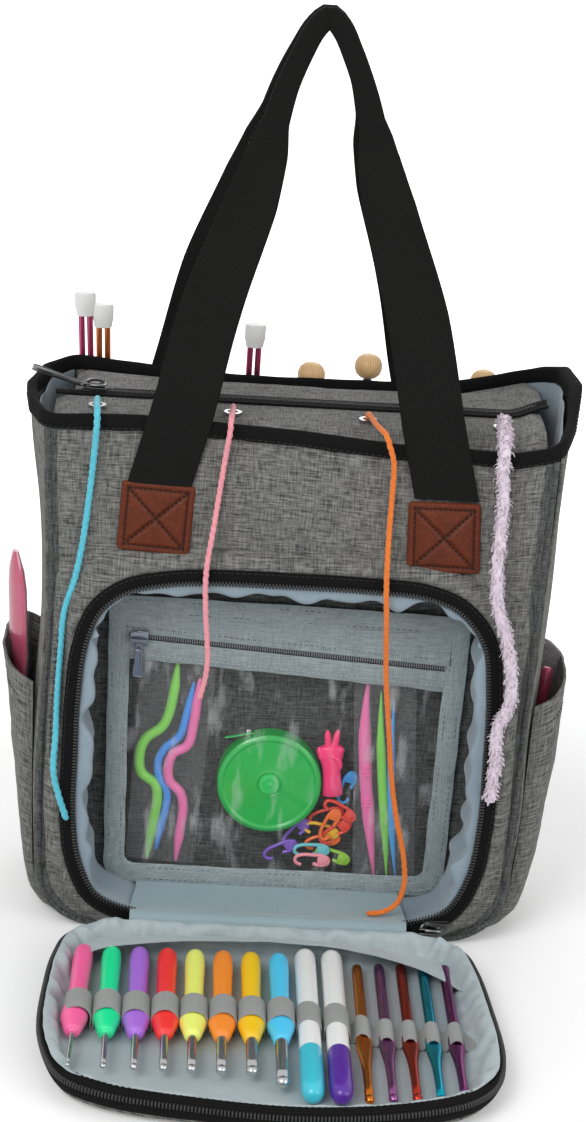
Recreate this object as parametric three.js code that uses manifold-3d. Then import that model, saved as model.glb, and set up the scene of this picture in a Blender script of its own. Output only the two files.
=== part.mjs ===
// A stocked knitting bag that stands with its front pocket open.
// Millimetres, +X to the right, +Y to the back, +Z up. The origin is under the middle of the base.

import * as THREE from 'three';
import { mergeVertices } from 'three/addons/utils/BufferGeometryUtils.js';
import Module from 'manifold-3d';

const wasm = await Module();
wasm.setup();

// Body: the outer box of cloth
const bodyBaseWidth = 236;
const bodyTopWidth = 248;
const bodyDepth = 108;
const bodyHeight = 266;
const bodyCornerRadius = 30;
const clothThickness = 3;
const seamGap = 0.3;
const pipingWidth = 4;
const pipingProud = 1.5;
const rimHeight = 10;
const rimProud = 1.5;
const rimInset = 3.5;
const rimCornerRadius = 6;

// Front pocket: its opening, its lined box and the zip round its mouth
const openingMargin = 11;
const openingBottom = 7;
const openingDrop = 72.5;
const openingTopRadius = 40;
const openingBottomRadius = 38;
const pocketProud = 10;
const zipTapeThickness = 2.7;
const zipBandWidth = 8;
const surroundThickness = 3.2;
const liningThickness = 1.6;
const pocketRearDepth = 42;
const dividerThickness = 2;

// Clear pocket inside the front pocket
const windowMargin = 19.5;
const windowBottomRise = 6.3;
const windowTopDrop = 33;
const windowCentre = 1.5;
const windowBandWidth = 9.5;
const windowBandThickness = 2;
const windowUpperRadius = 5;
const windowLowerRadius = 24;
const filmThickness = 0.6;
const clearPocketDepth = 14;
const windowZipDrop = 19.8;
const windowZipWidth = 12;
const windowZipThickness = 1.2;
const windowZipSlope = 3.4;
const windowSliderWidth = 8;
const windowSliderHeight = 9;
const windowSliderThickness = 3.2;
const windowPullWidth = 4.4;
const windowPullLength = 15;
const windowPullThickness = 1.4;

// Top: two cloth panels joined by a zip
const lidDrop = 5.5;
const lidThickness = 2;
const lidTapeWidth = 6;
const lidTapeThickness = 1.4;
const lidTapeSplit = 0.4;
const lidTapeEnd = 12;
const topSliderLength = 12;
const topSliderWidth = 9;
const topSliderThickness = 3.6;
const topSliderMargin = 26;
const topPullLength = 22;
const topPullWidth = 6;
const topPullThickness = 1.8;
const topPullSlope = 17;
const topPullLift = 2.9;
const eyeletOuterRadius = 4.4;
const eyeletBore = 2.6;
const eyeletThickness = 1;
const eyeletMargin = 26.05;
const eyeletSetback = 28;
const eyeletCount = 4;

// Carrying straps and the patches that hold them
const strapCentre = 2.5;
const strapMargin = 55.5;
const strapWidth = 30;
const strapThickness = 2;
const gripThickness = 5.2;
const strapReach = 183.6;
const gripPitch = 8.8;
const patchWidth = 35.5;
const patchHeight = 34;
const patchThickness = 3.6;
const patchDrop = 33.5;
const patchCornerRadius = 2.5;

// Outside pockets
const pocketWall = 1.6;
const sidePocketTop = 134;
const sidePocketReach = 20;
const sidePocketLowerReach = 11;
const sidePocketKnee = 42;
const sidePocketMargin = 8;
const rearPocketDrop = 76;
const rearPocketDepth = 13;
const rearPocketInset = 5;

// Flap of the front pocket, laid open in front of the bag
const hingeHeight = 12;
const hingeHemRadius = 2;
const hingeMargin = 3.5;
const flapSideGap = 2.5;
const flapNearGap = 4.7;
const flapLength = 181;
const flapNearRadius = 34;
const flapFarRadius = 38;
const flapFarBulge = 7;
const flapRimHeight = 14;
const flapFloorThickness = 2.8;
const flapGroundClearance = 0.4;
const flapWallThickness = 3.2;
const flapTapeThickness = 3;
const flapTapeWidth = 7.5;
const flapLiningThickness = 1;
const hingeStripLap = 2;
const flapSliderLength = 9;
const flapSliderWidth = 7;
const flapSliderThickness = 2.6;
const flapSliderStart = 18;

// Tools held by the flap's elastic band
const bandOffset = 90;
const bandWidth = 18;
const bandThickness = 0.8;
const loopClearance = 0.3;
const hookCount = 8;
const hookPitch = 13.4;
const hookMargin = 14;
const hookTopOffset = 38;
const hookLength = 116;
const coarsestHookExtra = 9;
const hookGripRadius = 5;
const hookShoulderRadius = 6.1;
const hookEndRadius = 3.2;
const hookCollarRadius = 3.6;
const hookGripLength = 84;
const finestShankRadius = 1.2;
const coarsestShankRadius = 3;
const penCount = 2;
const penPitch = 12.8;
const hookToPenPitch = 13;
const penTopOffset = 30.5;
const penLength = 141;
const penRadius = 5.2;
const slimHookPitch = 10.7;
const penToSlimHookPitch = 12.3;
const slimHookMargin = 20;
const slimHookTopOffset = 39;
const slimHookStagger = 1.6;
const slimHookLength = 131;
const slimHookRadius = 2.6;
const slimHookRestRadius = 3.5;
const slimHookTipRadius = 1.8;
const toolSides = 8;

// Slip pocket of lining over the upper ends of the tools
const slipMargin = 18.5;
const slipStart = 18.7;
const slipRise = 13;
const slipLean = 2.4;
const slipReach = 11.5;
const slipThickness = 1.1;
const slipFall = 2.6;

// Tape measure in the clear pocket
const tapeRadius = 26.5;
const tapeEdgeRadius = 3;
const tapeX = -3.4;
const tapeRise = 54.7;

// Yarns that hang from the eyelets: each route is a list of points chosen by hand
const yarnRadius = 1.75;
const fluffyYarnRadius = 3;
const yarnSides = 8;
const turquoiseRoute = [
  [-98, -26, 262.1], [-98, -26, 266], [-97.9, -31.5, 269.6], [-97.6, -42, 270.2], [-97.2, -52, 270],
  [-96.8, -59, 268], [-96.6, -60.8, 262], [-97.4, -58.6, 246], [-99, -57.6, 224], [-101, -57.6, 203],
  [-104, -57.6, 184], [-108.6, -57.6, 166], [-109.6, -57.6, 146], [-110.2, -58.6, 124], [-110.2, -61.4, 104],
  [-110.4, -66.3, 87], [-107.6, -66.5, 75], [-103, -66.5, 61.5],
];
const pinkRoute = [
  [-32.65, -26, 262.1], [-32.65, -26, 266], [-32.8, -31.5, 269.6], [-33.1, -42, 270.2], [-33.5, -52, 270],
  [-33.8, -59, 268], [-34, -60.8, 262], [-35.6, -58.8, 247], [-37.6, -59.2, 228], [-39.4, -62, 212],
  [-41.2, -66.4, 199], [-41.6, -66.6, 187], [-40.6, -66.6, 171], [-38.6, -66.6, 148], [-39.6, -66.6, 137],
  [-41.6, -66.6, 128],
];
const orangeRoute = [
  [32.65, -26, 262.1], [32.65, -26, 266], [33.2, -31.5, 269.6], [34.6, -42, 270.2], [36.8, -52, 270],
  [39.6, -59, 268], [41.6, -60.8, 261], [44.2, -59.4, 252], [44.6, -59, 236], [44.4, -60.6, 216],
  [44.3, -66.2, 199], [44.8, -66.4, 188], [46, -65, 174], [47.4, -60, 156], [49, -56, 138],
  [52.4, -53, 112], [56, -52.6, 84], [59.8, -52.6, 64], [64.6, -53, 45], [66, -54, 29],
  [62.6, -55.6, 19.5], [56, -57, 15.6], [48, -57.6, 14.6],
];
const lilacRoute = [
  [98, -26, 262.1], [98, -26, 268], [97.6, -33, 271.8], [97, -46, 272.4], [96.2, -57, 271.4],
  [95.9, -63, 265], [96, -62, 252], [97.2, -62, 238], [97.4, -63, 219], [96.8, -67.4, 200],
  [98.8, -67.5, 184], [104, -67.5, 168], [108, -67.5, 150], [108.4, -67.5, 134], [103.8, -67.5, 121],
  [104.2, -67.5, 104], [103.2, -67.5, 83],
];
const turquoiseSteps = 24;
const pinkSteps = 18;
const orangeSteps = 27;
const lilacSteps = 16;

// Counts and angles
const arcSteps = 5;
const smallArcSteps = 3;
const strapSteps = 18;
const discSides = 24;
const quarterTurn = Math.PI / 2;

const degrees = THREE.MathUtils.degToRad;
const point = (x, y) => new THREE.Vector2(x, y);

// Colours of the cloths, leather, metal and plastics
const heather = new THREE.MeshStandardMaterial({ color: 0x7d7d7b, roughness: 0.95, metalness: 0 });
const lining = new THREE.MeshStandardMaterial({ color: 0xa0a8af, roughness: 0.85, metalness: 0 });
const frameCloth = new THREE.MeshStandardMaterial({ color: 0x8d979c, roughness: 0.85, metalness: 0 });
const blackTrim = new THREE.MeshStandardMaterial({ color: 0x1e1e1c, roughness: 0.8, metalness: 0 });
const leather = new THREE.MeshStandardMaterial({ color: 0x6e371e, roughness: 0.55, metalness: 0 });
const darkMetal = new THREE.MeshStandardMaterial({ color: 0x4a5058, roughness: 0.35, metalness: 0.9 });
const brightMetal = new THREE.MeshStandardMaterial({ color: 0xc8cacc, roughness: 0.25, metalness: 1 });
const clearFilm = new THREE.MeshStandardMaterial({
  color: 0xe8eef0, roughness: 0.1, metalness: 0, transparent: true, opacity: 0.3,
});
const elastic = new THREE.MeshStandardMaterial({ color: 0x8f9494, roughness: 0.8, metalness: 0 });
const plastic = (color) => new THREE.MeshStandardMaterial({ color, roughness: 0.35, metalness: 0 });
const anodised = (color) => new THREE.MeshStandardMaterial({ color, roughness: 0.3, metalness: 0.9 });

// Points of an arc, from one angle to another in degrees
function arc(x, y, radius, from, to, steps = arcSteps) {
  const points = [];
  for (let step = 0; step <= steps; step += 1) {
    const angle = degrees(from + ((to - from) * step) / steps);
    points.push(point(x + radius * Math.cos(angle), y + radius * Math.sin(angle)));
  }
  return points;
}

// Corners of a rectangle with rounded corners, anticlockwise
function roundedRectangle(left, right, bottom, top, radius) {
  return [
    ...arc(right - radius, bottom + radius, radius, -90, 0, smallArcSteps),
    ...arc(right - radius, top - radius, radius, 0, 90, smallArcSteps),
    ...arc(left + radius, top - radius, radius, 90, 180, smallArcSteps),
    ...arc(left + radius, bottom + radius, radius, 180, 270, smallArcSteps),
  ];
}

// A band between an outer line of points and an inner one, open at its two ends
const bandBetween = (outer, inner) => [...outer, ...[...inner].reverse()];

// A flat sheet drawn as an outline with holes, given a thickness along its own Z
function slab(outline, holes, thickness) {
  const shape = new THREE.Shape(outline);
  for (const hole of holes) {
    shape.holes.push(new THREE.Path(hole));
  }
  return new THREE.ExtrudeGeometry(shape, { depth: thickness, bevelEnabled: false });
}

// A sheet drawn in X and Z that stands up, from its back face forwards
function standing(outline, holes, back, thickness) {
  return slab(outline, holes, thickness).rotateX(quarterTurn).translate(0, back, 0);
}

// A sheet drawn in X and Y that lies flat, from its lower face up
function lying(outline, holes, bottom, thickness) {
  return slab(outline, holes, thickness).translate(0, 0, bottom);
}

// A section drawn in Y and Z that runs along X, centred
function across(section, length) {
  return slab(section, [], length).rotateX(quarterTurn).rotateZ(quarterTurn).translate(-length / 2, 0, 0);
}

function solidOf(geometry) {
  const bare = geometry.clone();
  bare.deleteAttribute('normal');
  bare.deleteAttribute('uv');
  const merged = mergeVertices(bare);
  return new wasm.Manifold(new wasm.Mesh({
    numProp: 3,
    vertProperties: new Float32Array(merged.attributes.position.array),
    triVerts: new Uint32Array(merged.index.array),
  }));
}

function geometryOf(solid) {
  const mesh = solid.getMesh();
  const geometry = new THREE.BufferGeometry();
  geometry.setAttribute('position', new THREE.BufferAttribute(new Float32Array(mesh.vertProperties), 3));
  geometry.setIndex(new THREE.BufferAttribute(new Uint32Array(mesh.triVerts), 1));
  geometry.computeVertexNormals();
  return geometry;
}

const cutFrom = (whole, tool) => geometryOf(solidOf(whole).subtract(solidOf(tool)));
const joined = (first, second) => geometryOf(solidOf(first).add(solidOf(second)));

// A turned solid whose profile of radius and height starts and ends on the axis
function turned(profile, sides = toolSides) {
  return new THREE.LatheGeometry(profile.map(([radius, height]) => point(radius, height)), sides);
}

const bag = new THREE.Group();

function add(name, geometry, material) {
  const mesh = new THREE.Mesh(geometry, material);
  mesh.name = name;
  bag.add(mesh);
  return mesh;
}

// Body

const bodyFront = -bodyDepth / 2;
const bodyBack = bodyDepth / 2;
const rimBottom = bodyHeight - rimHeight;
const wallTop = rimBottom - seamGap;
const openingWidth = bodyBaseWidth - 2 * openingMargin;
const openingTop = bodyHeight - openingDrop;

function bodyHalfWidth(height) {
  return (bodyBaseWidth + ((bodyTopWidth - bodyBaseWidth) * height) / bodyHeight) / 2;
}

// The body's outline seen from the front, open at the top, set in by an inset
function bodyEdge(inset, top) {
  const centreX = bodyBaseWidth / 2 - bodyCornerRadius;
  const radius = bodyCornerRadius - inset;
  const topX = bodyHalfWidth(top) - inset;
  return [
    point(-topX, top),
    ...arc(-centreX, bodyCornerRadius, radius, 180, 270),
    ...arc(centreX, bodyCornerRadius, radius, 270, 360),
    point(topX, top),
  ];
}

// The outline of the front pocket's mouth, from the middle of its lower right corner round to the left
function openingEdge(inset) {
  const lowerX = openingWidth / 2 - openingBottomRadius;
  const upperX = openingWidth / 2 - openingTopRadius;
  const lowerZ = openingBottom + openingBottomRadius;
  const upperZ = openingTop - openingTopRadius;
  return [
    ...arc(lowerX, lowerZ, openingBottomRadius - inset, 270, 360),
    ...arc(upperX, upperZ, openingTopRadius - inset, 0, 90),
    ...arc(-upperX, upperZ, openingTopRadius - inset, 90, 180),
    ...arc(-lowerX, lowerZ, openingBottomRadius - inset, 180, 270),
  ];
}

const panelEdge = bodyEdge(pipingWidth + seamGap, wallTop);
const pipingBand = bandBetween(bodyEdge(seamGap, wallTop), bodyEdge(pipingWidth, wallTop));
const gussetBand = bandBetween(bodyEdge(0, wallTop), bodyEdge(clothThickness, wallTop));
const gussetDepth = bodyDepth - 2 * (clothThickness + seamGap);

add('front_panel', standing(
  panelEdge, [openingEdge(surroundThickness)], bodyFront + clothThickness, clothThickness,
), heather);
add('back_panel', standing(panelEdge, [], bodyBack, clothThickness), heather);
add('gusset', standing(gussetBand, [], gussetDepth / 2, gussetDepth), heather);
const pipingDepth = clothThickness + pipingProud;
add('front_piping', standing(pipingBand, [], bodyFront + clothThickness, pipingDepth), blackTrim);
add('rear_piping', standing(pipingBand, [], bodyBack + pipingProud, pipingDepth), blackTrim);

const rimInnerX = bodyTopWidth / 2 - rimInset;
const rimInnerY = bodyDepth / 2 - rimInset;
const rimOuterX = bodyTopWidth / 2 + rimProud;
const rimOuterY = bodyDepth / 2 + rimProud;
add('rim_binding', lying(
  roundedRectangle(-rimOuterX, rimOuterX, -rimOuterY, rimOuterY, rimCornerRadius),
  [roundedRectangle(-rimInnerX, rimInnerX, -rimInnerY, rimInnerY, rimCornerRadius - rimInset)],
  rimBottom,
  rimHeight,
), blackTrim);

// Front pocket

const pocketFace = bodyFront - pocketProud;
const surroundFace = pocketFace + zipTapeThickness + seamGap;
const surroundBack = bodyFront - seamGap;
const liningInset = surroundThickness + seamGap;
const liningInnerInset = liningInset + liningThickness;
const dividerFront = bodyFront + pocketRearDepth;
const liningBack = dividerFront - seamGap;

add('opening_zip_tape', standing(
  openingEdge(0), [openingEdge(zipBandWidth)], pocketFace + zipTapeThickness, zipTapeThickness,
), blackTrim);
add('pocket_surround', standing(
  openingEdge(0), [openingEdge(surroundThickness)], surroundBack, surroundBack - surroundFace,
), heather);
add('pocket_lining', standing(
  openingEdge(liningInset), [openingEdge(liningInnerInset)], liningBack, liningBack - surroundFace,
), lining);
add('divider_panel', standing(
  openingEdge(liningInset), [], dividerFront + dividerThickness, dividerThickness,
), heather);

// Clear pocket

const filmBack = dividerFront - clearPocketDepth;
const filmFront = filmBack - filmThickness;
const windowWidth = openingWidth - 2 * windowMargin;
const windowLeft = windowCentre - windowWidth / 2;
const windowRight = windowCentre + windowWidth / 2;
const windowBottom = openingBottom + windowBottomRise;
const windowTop = openingTop - windowTopDrop;

function windowOutline(inset) {
  const upper = windowUpperRadius;
  const lower = windowLowerRadius - inset;
  const lowerZ = windowBottom + windowLowerRadius;
  return [
    ...arc(windowRight - windowLowerRadius, lowerZ, lower, -90, 0),
    ...arc(windowRight - inset - upper, windowTop - inset - upper, upper, 0, 90, smallArcSteps),
    ...arc(windowLeft + inset + upper, windowTop - inset - upper, upper, 90, 180, smallArcSteps),
    ...arc(windowLeft + windowLowerRadius, lowerZ, lower, 180, 270),
  ];
}

const windowMouth = windowOutline(windowBandWidth);
const windowBandBack = filmBack + seamGap;
const pocketBackFront = windowBandBack + seamGap;
add('pocket_back', standing(
  openingEdge(liningInnerInset + seamGap), [windowMouth], pocketBackFront + liningThickness, liningThickness,
), lining);
const filmOutline = windowOutline(windowBandWidth + seamGap);
add('clear_window', standing(filmOutline, [], filmBack, filmThickness), clearFilm);

// The zip's tape slopes across the film; its ends are sewn into the binding
const windowZipBack = filmFront - seamGap;
const windowZipFront = windowZipBack - windowZipThickness;
const windowZipLength = windowWidth - 2 * windowBandWidth;
const windowZipAngle = degrees(windowZipSlope);
const windowZipHeight = windowTop - windowZipDrop;
const windowZip = new THREE.BoxGeometry(windowZipLength + windowBandWidth, windowZipThickness, windowZipWidth)
  .rotateY(windowZipAngle)
  .translate(windowCentre, (windowZipBack + windowZipFront) / 2, windowZipHeight);
add('window_binding', joined(
  standing(windowOutline(0), [windowMouth], windowBandBack, windowBandThickness), windowZip,
), frameCloth);

const windowSliderRun = (windowZipLength - windowSliderWidth) / 2;
const windowSliderX = windowCentre - windowSliderRun * Math.cos(windowZipAngle);
const windowSliderZ = windowZipHeight + windowSliderRun * Math.sin(windowZipAngle);
const windowSliderBack = windowZipFront - seamGap;
add('window_zip_slider', standing(
  roundedRectangle(
    windowSliderX - windowSliderWidth / 2, windowSliderX + windowSliderWidth / 2,
    windowSliderZ - windowSliderHeight / 2, windowSliderZ + windowSliderHeight / 2, windowPullWidth / 2,
  ),
  [],
  windowSliderBack,
  windowSliderThickness,
), darkMetal);

const windowPullRadius = windowPullWidth / 2;
const windowPullPivotZ = windowSliderZ - windowSliderHeight / 2 - seamGap - windowPullRadius;
const windowPullY = windowSliderBack - (windowSliderThickness - windowPullThickness) / 2;
const windowPullTop = windowPullPivotZ + windowPullRadius;
add('window_zip_pull', standing(
  roundedRectangle(
    windowSliderX - windowPullRadius, windowSliderX + windowPullRadius,
    windowPullTop - windowPullLength, windowPullTop, windowPullRadius,
  ),
  [],
  windowPullY,
  windowPullThickness,
), darkMetal);

// Top panels, their zip and the eyelets

const lidTop = bodyHeight - lidDrop;
const lidBottom = lidTop - lidThickness;
const lidHalfWidth = rimInnerX - seamGap;
const lidEdge = rimInnerY - seamGap;
const lidTapeEdge = lidTapeSplit / 2 + lidTapeWidth;
const eyeletY = eyeletSetback - bodyDepth / 2;
const eyeletPitch = (bodyTopWidth - 2 * eyeletMargin) / (eyeletCount - 1);
const eyeletMiddle = (eyeletCount - 1) / 2;
const eyelets = Array.from({ length: eyeletCount }, (_, index) => (index - eyeletMiddle) * eyeletPitch);

add('top_panel_front', lying(
  roundedRectangle(-lidHalfWidth, lidHalfWidth, -lidEdge, -lidTapeEdge - seamGap, rimCornerRadius - rimInset),
  eyelets.map((x) => arc(x, eyeletY, eyeletBore + seamGap, 360, 30, toolSides + smallArcSteps)),
  lidBottom,
  lidThickness,
), heather);
add('top_panel_rear', lying(
  roundedRectangle(-lidHalfWidth, lidHalfWidth, lidTapeEdge + seamGap, lidEdge, rimCornerRadius - rimInset),
  [],
  lidBottom,
  lidThickness,
), heather);
eyelets.forEach((x, index) => add(`eyelet_${index + 1}`, lying(
  arc(x, eyeletY, eyeletOuterRadius, 0, 330, toolSides + smallArcSteps),
  [arc(x, eyeletY, eyeletBore, 0, 330, toolSides + smallArcSteps)],
  lidTop + seamGap,
  eyeletThickness,
), brightMetal));

const topSliderX = topSliderMargin - bodyTopWidth / 2;
const lidTapeStart = topSliderX + topSliderLength / 2 + seamGap;
const lidTapeFinish = lidHalfWidth - lidTapeEnd;
const lidTapeTop = lidBottom + lidTapeThickness;
add('top_zip_tape_front', lying(
  [
    point(-lidHalfWidth, -lidTapeEdge), point(lidTapeFinish, -lidTapeEdge),
    point(lidTapeFinish, -lidTapeSplit / 2), point(-lidHalfWidth, -lidTapeSplit / 2),
  ],
  [],
  lidBottom,
  lidTapeThickness,
), blackTrim);
add('top_zip_tape_rear', lying(
  [
    point(lidTapeStart, lidTapeSplit / 2), point(lidTapeFinish, lidTapeSplit / 2),
    point(lidTapeFinish, lidTapeEdge), point(lidTapeStart, lidTapeEdge),
  ],
  [],
  lidBottom,
  lidTapeThickness,
), blackTrim);

const topSliderBottom = lidTapeTop + seamGap;
add('top_zip_slider', lying(
  roundedRectangle(
    topSliderX - topSliderLength / 2, topSliderX + topSliderLength / 2,
    -topSliderWidth / 2, topSliderWidth / 2, topSliderWidth / 4,
  ),
  [],
  topSliderBottom,
  topSliderThickness,
), darkMetal);

// The top pull lies over the rim at a slope; its round end turns on the slider's left end
const topPullPivotX = topSliderX - topSliderLength / 2 - seamGap - topPullThickness / 2;
const topPullPivotZ = topSliderBottom + topPullLift;
const topPull = add('top_zip_pull', standing(
  roundedRectangle(
    -topPullLength, topPullThickness / 2, -topPullThickness / 2, topPullThickness / 2, topPullThickness / 2,
  ),
  [],
  topPullWidth / 2,
  topPullWidth,
), darkMetal);
topPull.position.set(topPullPivotX, 0, topPullPivotZ);
topPull.rotation.y = degrees(topPullSlope);

// Straps, in shares of the spread, rise, width and thickness from a patch to the middle of the grip

const spreadShares = [1, 0.87, 0.71, 0.475, 0.38, 0.335, 0.266, 0.175, 0.09, 0];
const riseShares = [0, 0.162, 0.391, 0.612, 0.717, 0.777, 0.855, 0.924, 0.975, 1];
const widthShares = [1, 1, 0.98, 0.85, 0.66, 0.43, 0.37, 0.35, 0.35, 0.35];
const thicknessShares = [0, 0, 0, 0.1, 0.4, 0.85, 1, 1, 1, 1];
const leanStartShare = 0.21;

const patchTop = bodyHeight - patchDrop;
const strapSpread = bodyTopWidth / 2 - strapMargin;
const strapFoot = patchTop + seamGap;
const strapRise = bodyHeight + strapReach - strapFoot;
const strapFootY = bodyDepth / 2 + rimProud + seamGap + strapThickness / 2;
const strapApexY = gripPitch / 2;

// A strap's stations along its length: place in X, rise, width and thickness, left foot to right foot
function strapStations() {
  const half = new THREE.CatmullRomCurve3(spreadShares.map((share, index) => new THREE.Vector3(
    -strapSpread * share, strapRise * riseShares[index], strapWidth * widthShares[index],
  )));
  const bulk = new THREE.CatmullRomCurve3(thicknessShares.map((share, index) => new THREE.Vector3(
    -strapSpread * spreadShares[index],
    strapRise * riseShares[index],
    strapThickness + (gripThickness - strapThickness) * share,
  )));
  const left = [];
  for (let step = 0; step <= strapSteps; step += 1) {
    const place = half.getPoint(step / strapSteps);
    left.push({ x: place.x, rise: place.y, width: place.z, thickness: bulk.getPoint(step / strapSteps).z });
  }
  const right = left.slice(0, -1).reverse().map((station) => ({ ...station, x: -station.x }));
  return [...left, ...right];
}

// A closed band swept through the stations; side is -1 for the front strap and 1 for the rear one
function strapBand(side) {
  const stations = strapStations();
  const leanStart = strapRise * leanStartShare;
  const leanRise = strapRise - leanStart;
  const leanRun = strapFootY - strapApexY;
  const slopeLength = Math.hypot(leanRise, leanRun);
  const positions = [];
  const rings = stations.map((station, index) => {
    const before = stations[Math.max(index - 1, 0)];
    const after = stations[Math.min(index + 1, stations.length - 1)];
    const atFoot = index === 0 || index === stations.length - 1;
    const run = Math.hypot(after.x - before.x, after.rise - before.rise);
    const alongX = atFoot ? 0 : (after.x - before.x) / run;
    const alongRise = atFoot ? Math.sign(after.rise - before.rise) : (after.rise - before.rise) / run;
    const leaning = station.rise > leanStart;
    const up = leaning
      ? new THREE.Vector3(0, (-side * leanRun) / slopeLength, leanRise / slopeLength)
      : new THREE.Vector3(0, 0, 1);
    const faceOut = leaning
      ? new THREE.Vector3(0, (side * leanRise) / slopeLength, leanRun / slopeLength)
      : new THREE.Vector3(0, side, 0);
    const edge = new THREE.Vector3(alongRise, 0, 0).addScaledVector(up, -alongX);
    const leanShare = Math.max(station.rise - leanStart, 0) / leanRise;
    const centre = new THREE.Vector3(
      strapCentre + station.x, side * (strapFootY - leanRun * leanShare), strapFoot + station.rise,
    );
    return [[-1, -1], [1, -1], [1, 1], [-1, 1]].map(([across, out]) => centre.clone()
      .addScaledVector(edge, (across * station.width) / 2)
      .addScaledVector(faceOut, (out * station.thickness) / 2));
  });
  const quad = (a, b, c, d) => {
    const corners = side < 0 ? [a, c, b, a, d, c] : [a, b, c, a, c, d];
    corners.forEach((corner) => positions.push(corner.x, corner.y, corner.z));
  };
  for (let index = 0; index + 1 < rings.length; index += 1) {
    for (let corner = 0; corner < 4; corner += 1) {
      const next = (corner + 1) % 4;
      quad(rings[index][corner], rings[index][next], rings[index + 1][next], rings[index + 1][corner]);
    }
  }
  const first = rings[0];
  const last = rings[rings.length - 1];
  quad(first[3], first[2], first[1], first[0]);
  quad(last[0], last[1], last[2], last[3]);
  const geometry = new THREE.BufferGeometry();
  geometry.setAttribute('position', new THREE.BufferAttribute(new Float32Array(positions), 3));
  geometry.computeVertexNormals();
  return geometry;
}

function strapPatch(name, offset, back) {
  const centre = strapCentre + offset;
  add(name, standing(
    roundedRectangle(
      centre - patchWidth / 2, centre + patchWidth / 2, patchTop - patchHeight, patchTop, patchCornerRadius,
    ),
    [],
    back,
    patchThickness,
  ), leather);
}

add('strap_front', strapBand(-1), blackTrim);
add('strap_rear', strapBand(1), blackTrim);
for (const [end, offset] of [['left', -strapSpread], ['right', strapSpread]]) {
  strapPatch(`strap_patch_front_${end}`, offset, bodyFront - seamGap);
  strapPatch(`strap_patch_rear_${end}`, offset, bodyBack + seamGap + patchThickness);
}

// Outside pockets

const sidePocketHalfDepth = bodyDepth / 2 - sidePocketMargin;

function sidePocket(side) {
  const cornerX = bodyBaseWidth / 2 - bodyCornerRadius;
  const mirrored = (points) => points.map((place) => point(side * place.x, place.y));
  const wedge = (inset, inner, top, stop) => mirrored([
    ...arc(cornerX, bodyCornerRadius, bodyCornerRadius + inner, -stop, 0),
    point(bodyHalfWidth(top) + inner, top),
    point(bodyHalfWidth(top) + sidePocketReach - inset, top),
    point(bodyBaseWidth / 2 + sidePocketLowerReach - inset, sidePocketKnee),
    ...arc(cornerX, bodyCornerRadius, bodyCornerRadius + sidePocketLowerReach - inset, 0, -stop),
  ]);
  const outerStop = 45;
  const innerStop = 35;
  const wholeWedge = wedge(0, seamGap, sidePocketTop, outerStop);
  const hollowWedge = wedge(pocketWall, -pocketWall, sidePocketTop + pocketWall, innerStop);
  const hollowHalfDepth = sidePocketHalfDepth - pocketWall;
  const whole = standing(wholeWedge, [], sidePocketHalfDepth, 2 * sidePocketHalfDepth);
  const hollow = standing(hollowWedge, [], hollowHalfDepth, 2 * hollowHalfDepth);
  return cutFrom(whole, hollow);
}

add('side_pocket_left', sidePocket(-1), heather);
add('side_pocket_right', sidePocket(1), heather);

const rearPocketTop = bodyHeight - rearPocketDrop;
const rearPocketSheet = bodyBack + seamGap + rearPocketDepth;
add('rear_pocket', joined(
  standing(
    bandBetween(
      bodyEdge(rearPocketInset, rearPocketTop), bodyEdge(rearPocketInset + pocketWall, rearPocketTop),
    ),
    [],
    rearPocketSheet + pocketWall,
    rearPocketDepth + pocketWall,
  ),
  standing(bodyEdge(rearPocketInset, rearPocketTop), [], rearPocketSheet + pocketWall, pocketWall),
), heather);

// Flap

const hingeY = pocketFace - seamGap - hingeHemRadius;
const flapWidth = openingWidth - 2 * flapSideGap;
const hingeHalfWidth = flapWidth / 2 - flapNearRadius - hingeMargin;
const flapNearY = hingeY - flapNearGap;
const flapFarY = flapNearY - flapLength;
const flapFloorTop = flapGroundClearance + flapFloorThickness;
const flapLiningBottom = flapFloorTop + seamGap;
const flapLiningTop = flapLiningBottom + flapLiningThickness;
const flapTapeBottom = flapRimHeight - flapTapeThickness;
const flapWallTop = flapTapeBottom - seamGap;

// The flap's outline seen from above, from the left end of its hinge side round to the right end
function flapEdge(inset) {
  const nearX = flapWidth / 2 - flapNearRadius;
  const farX = flapWidth / 2 - flapFarRadius;
  const nearCentreY = flapNearY - flapNearRadius;
  const farCentreY = flapFarY + flapFarBulge + flapFarRadius;
  const crownX = farX / 2;
  const crownY = flapFarY + inset + flapFarBulge / 4;
  return [
    point(-hingeHalfWidth, flapNearY - inset),
    ...arc(-nearX, nearCentreY, flapNearRadius - inset, 90, 180),
    ...arc(-farX, farCentreY, flapFarRadius - inset, 180, 270),
    point(-crownX, crownY), point(0, flapFarY + inset), point(crownX, crownY),
    ...arc(farX, farCentreY, flapFarRadius - inset, 270, 360),
    ...arc(nearX, nearCentreY, flapNearRadius - inset, 0, 90),
    point(hingeHalfWidth, flapNearY - inset),
  ];
}

add('flap_panel', joined(
  lying(flapEdge(0), [], flapGroundClearance, flapFloorThickness),
  lying(
    bandBetween(flapEdge(0), flapEdge(flapWallThickness)), [],
    flapGroundClearance, flapWallTop - flapGroundClearance,
  ),
), heather);
add('flap_zip_tape', lying(
  bandBetween(flapEdge(0), flapEdge(flapTapeWidth)), [], flapTapeBottom, flapTapeThickness,
), blackTrim);
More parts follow.
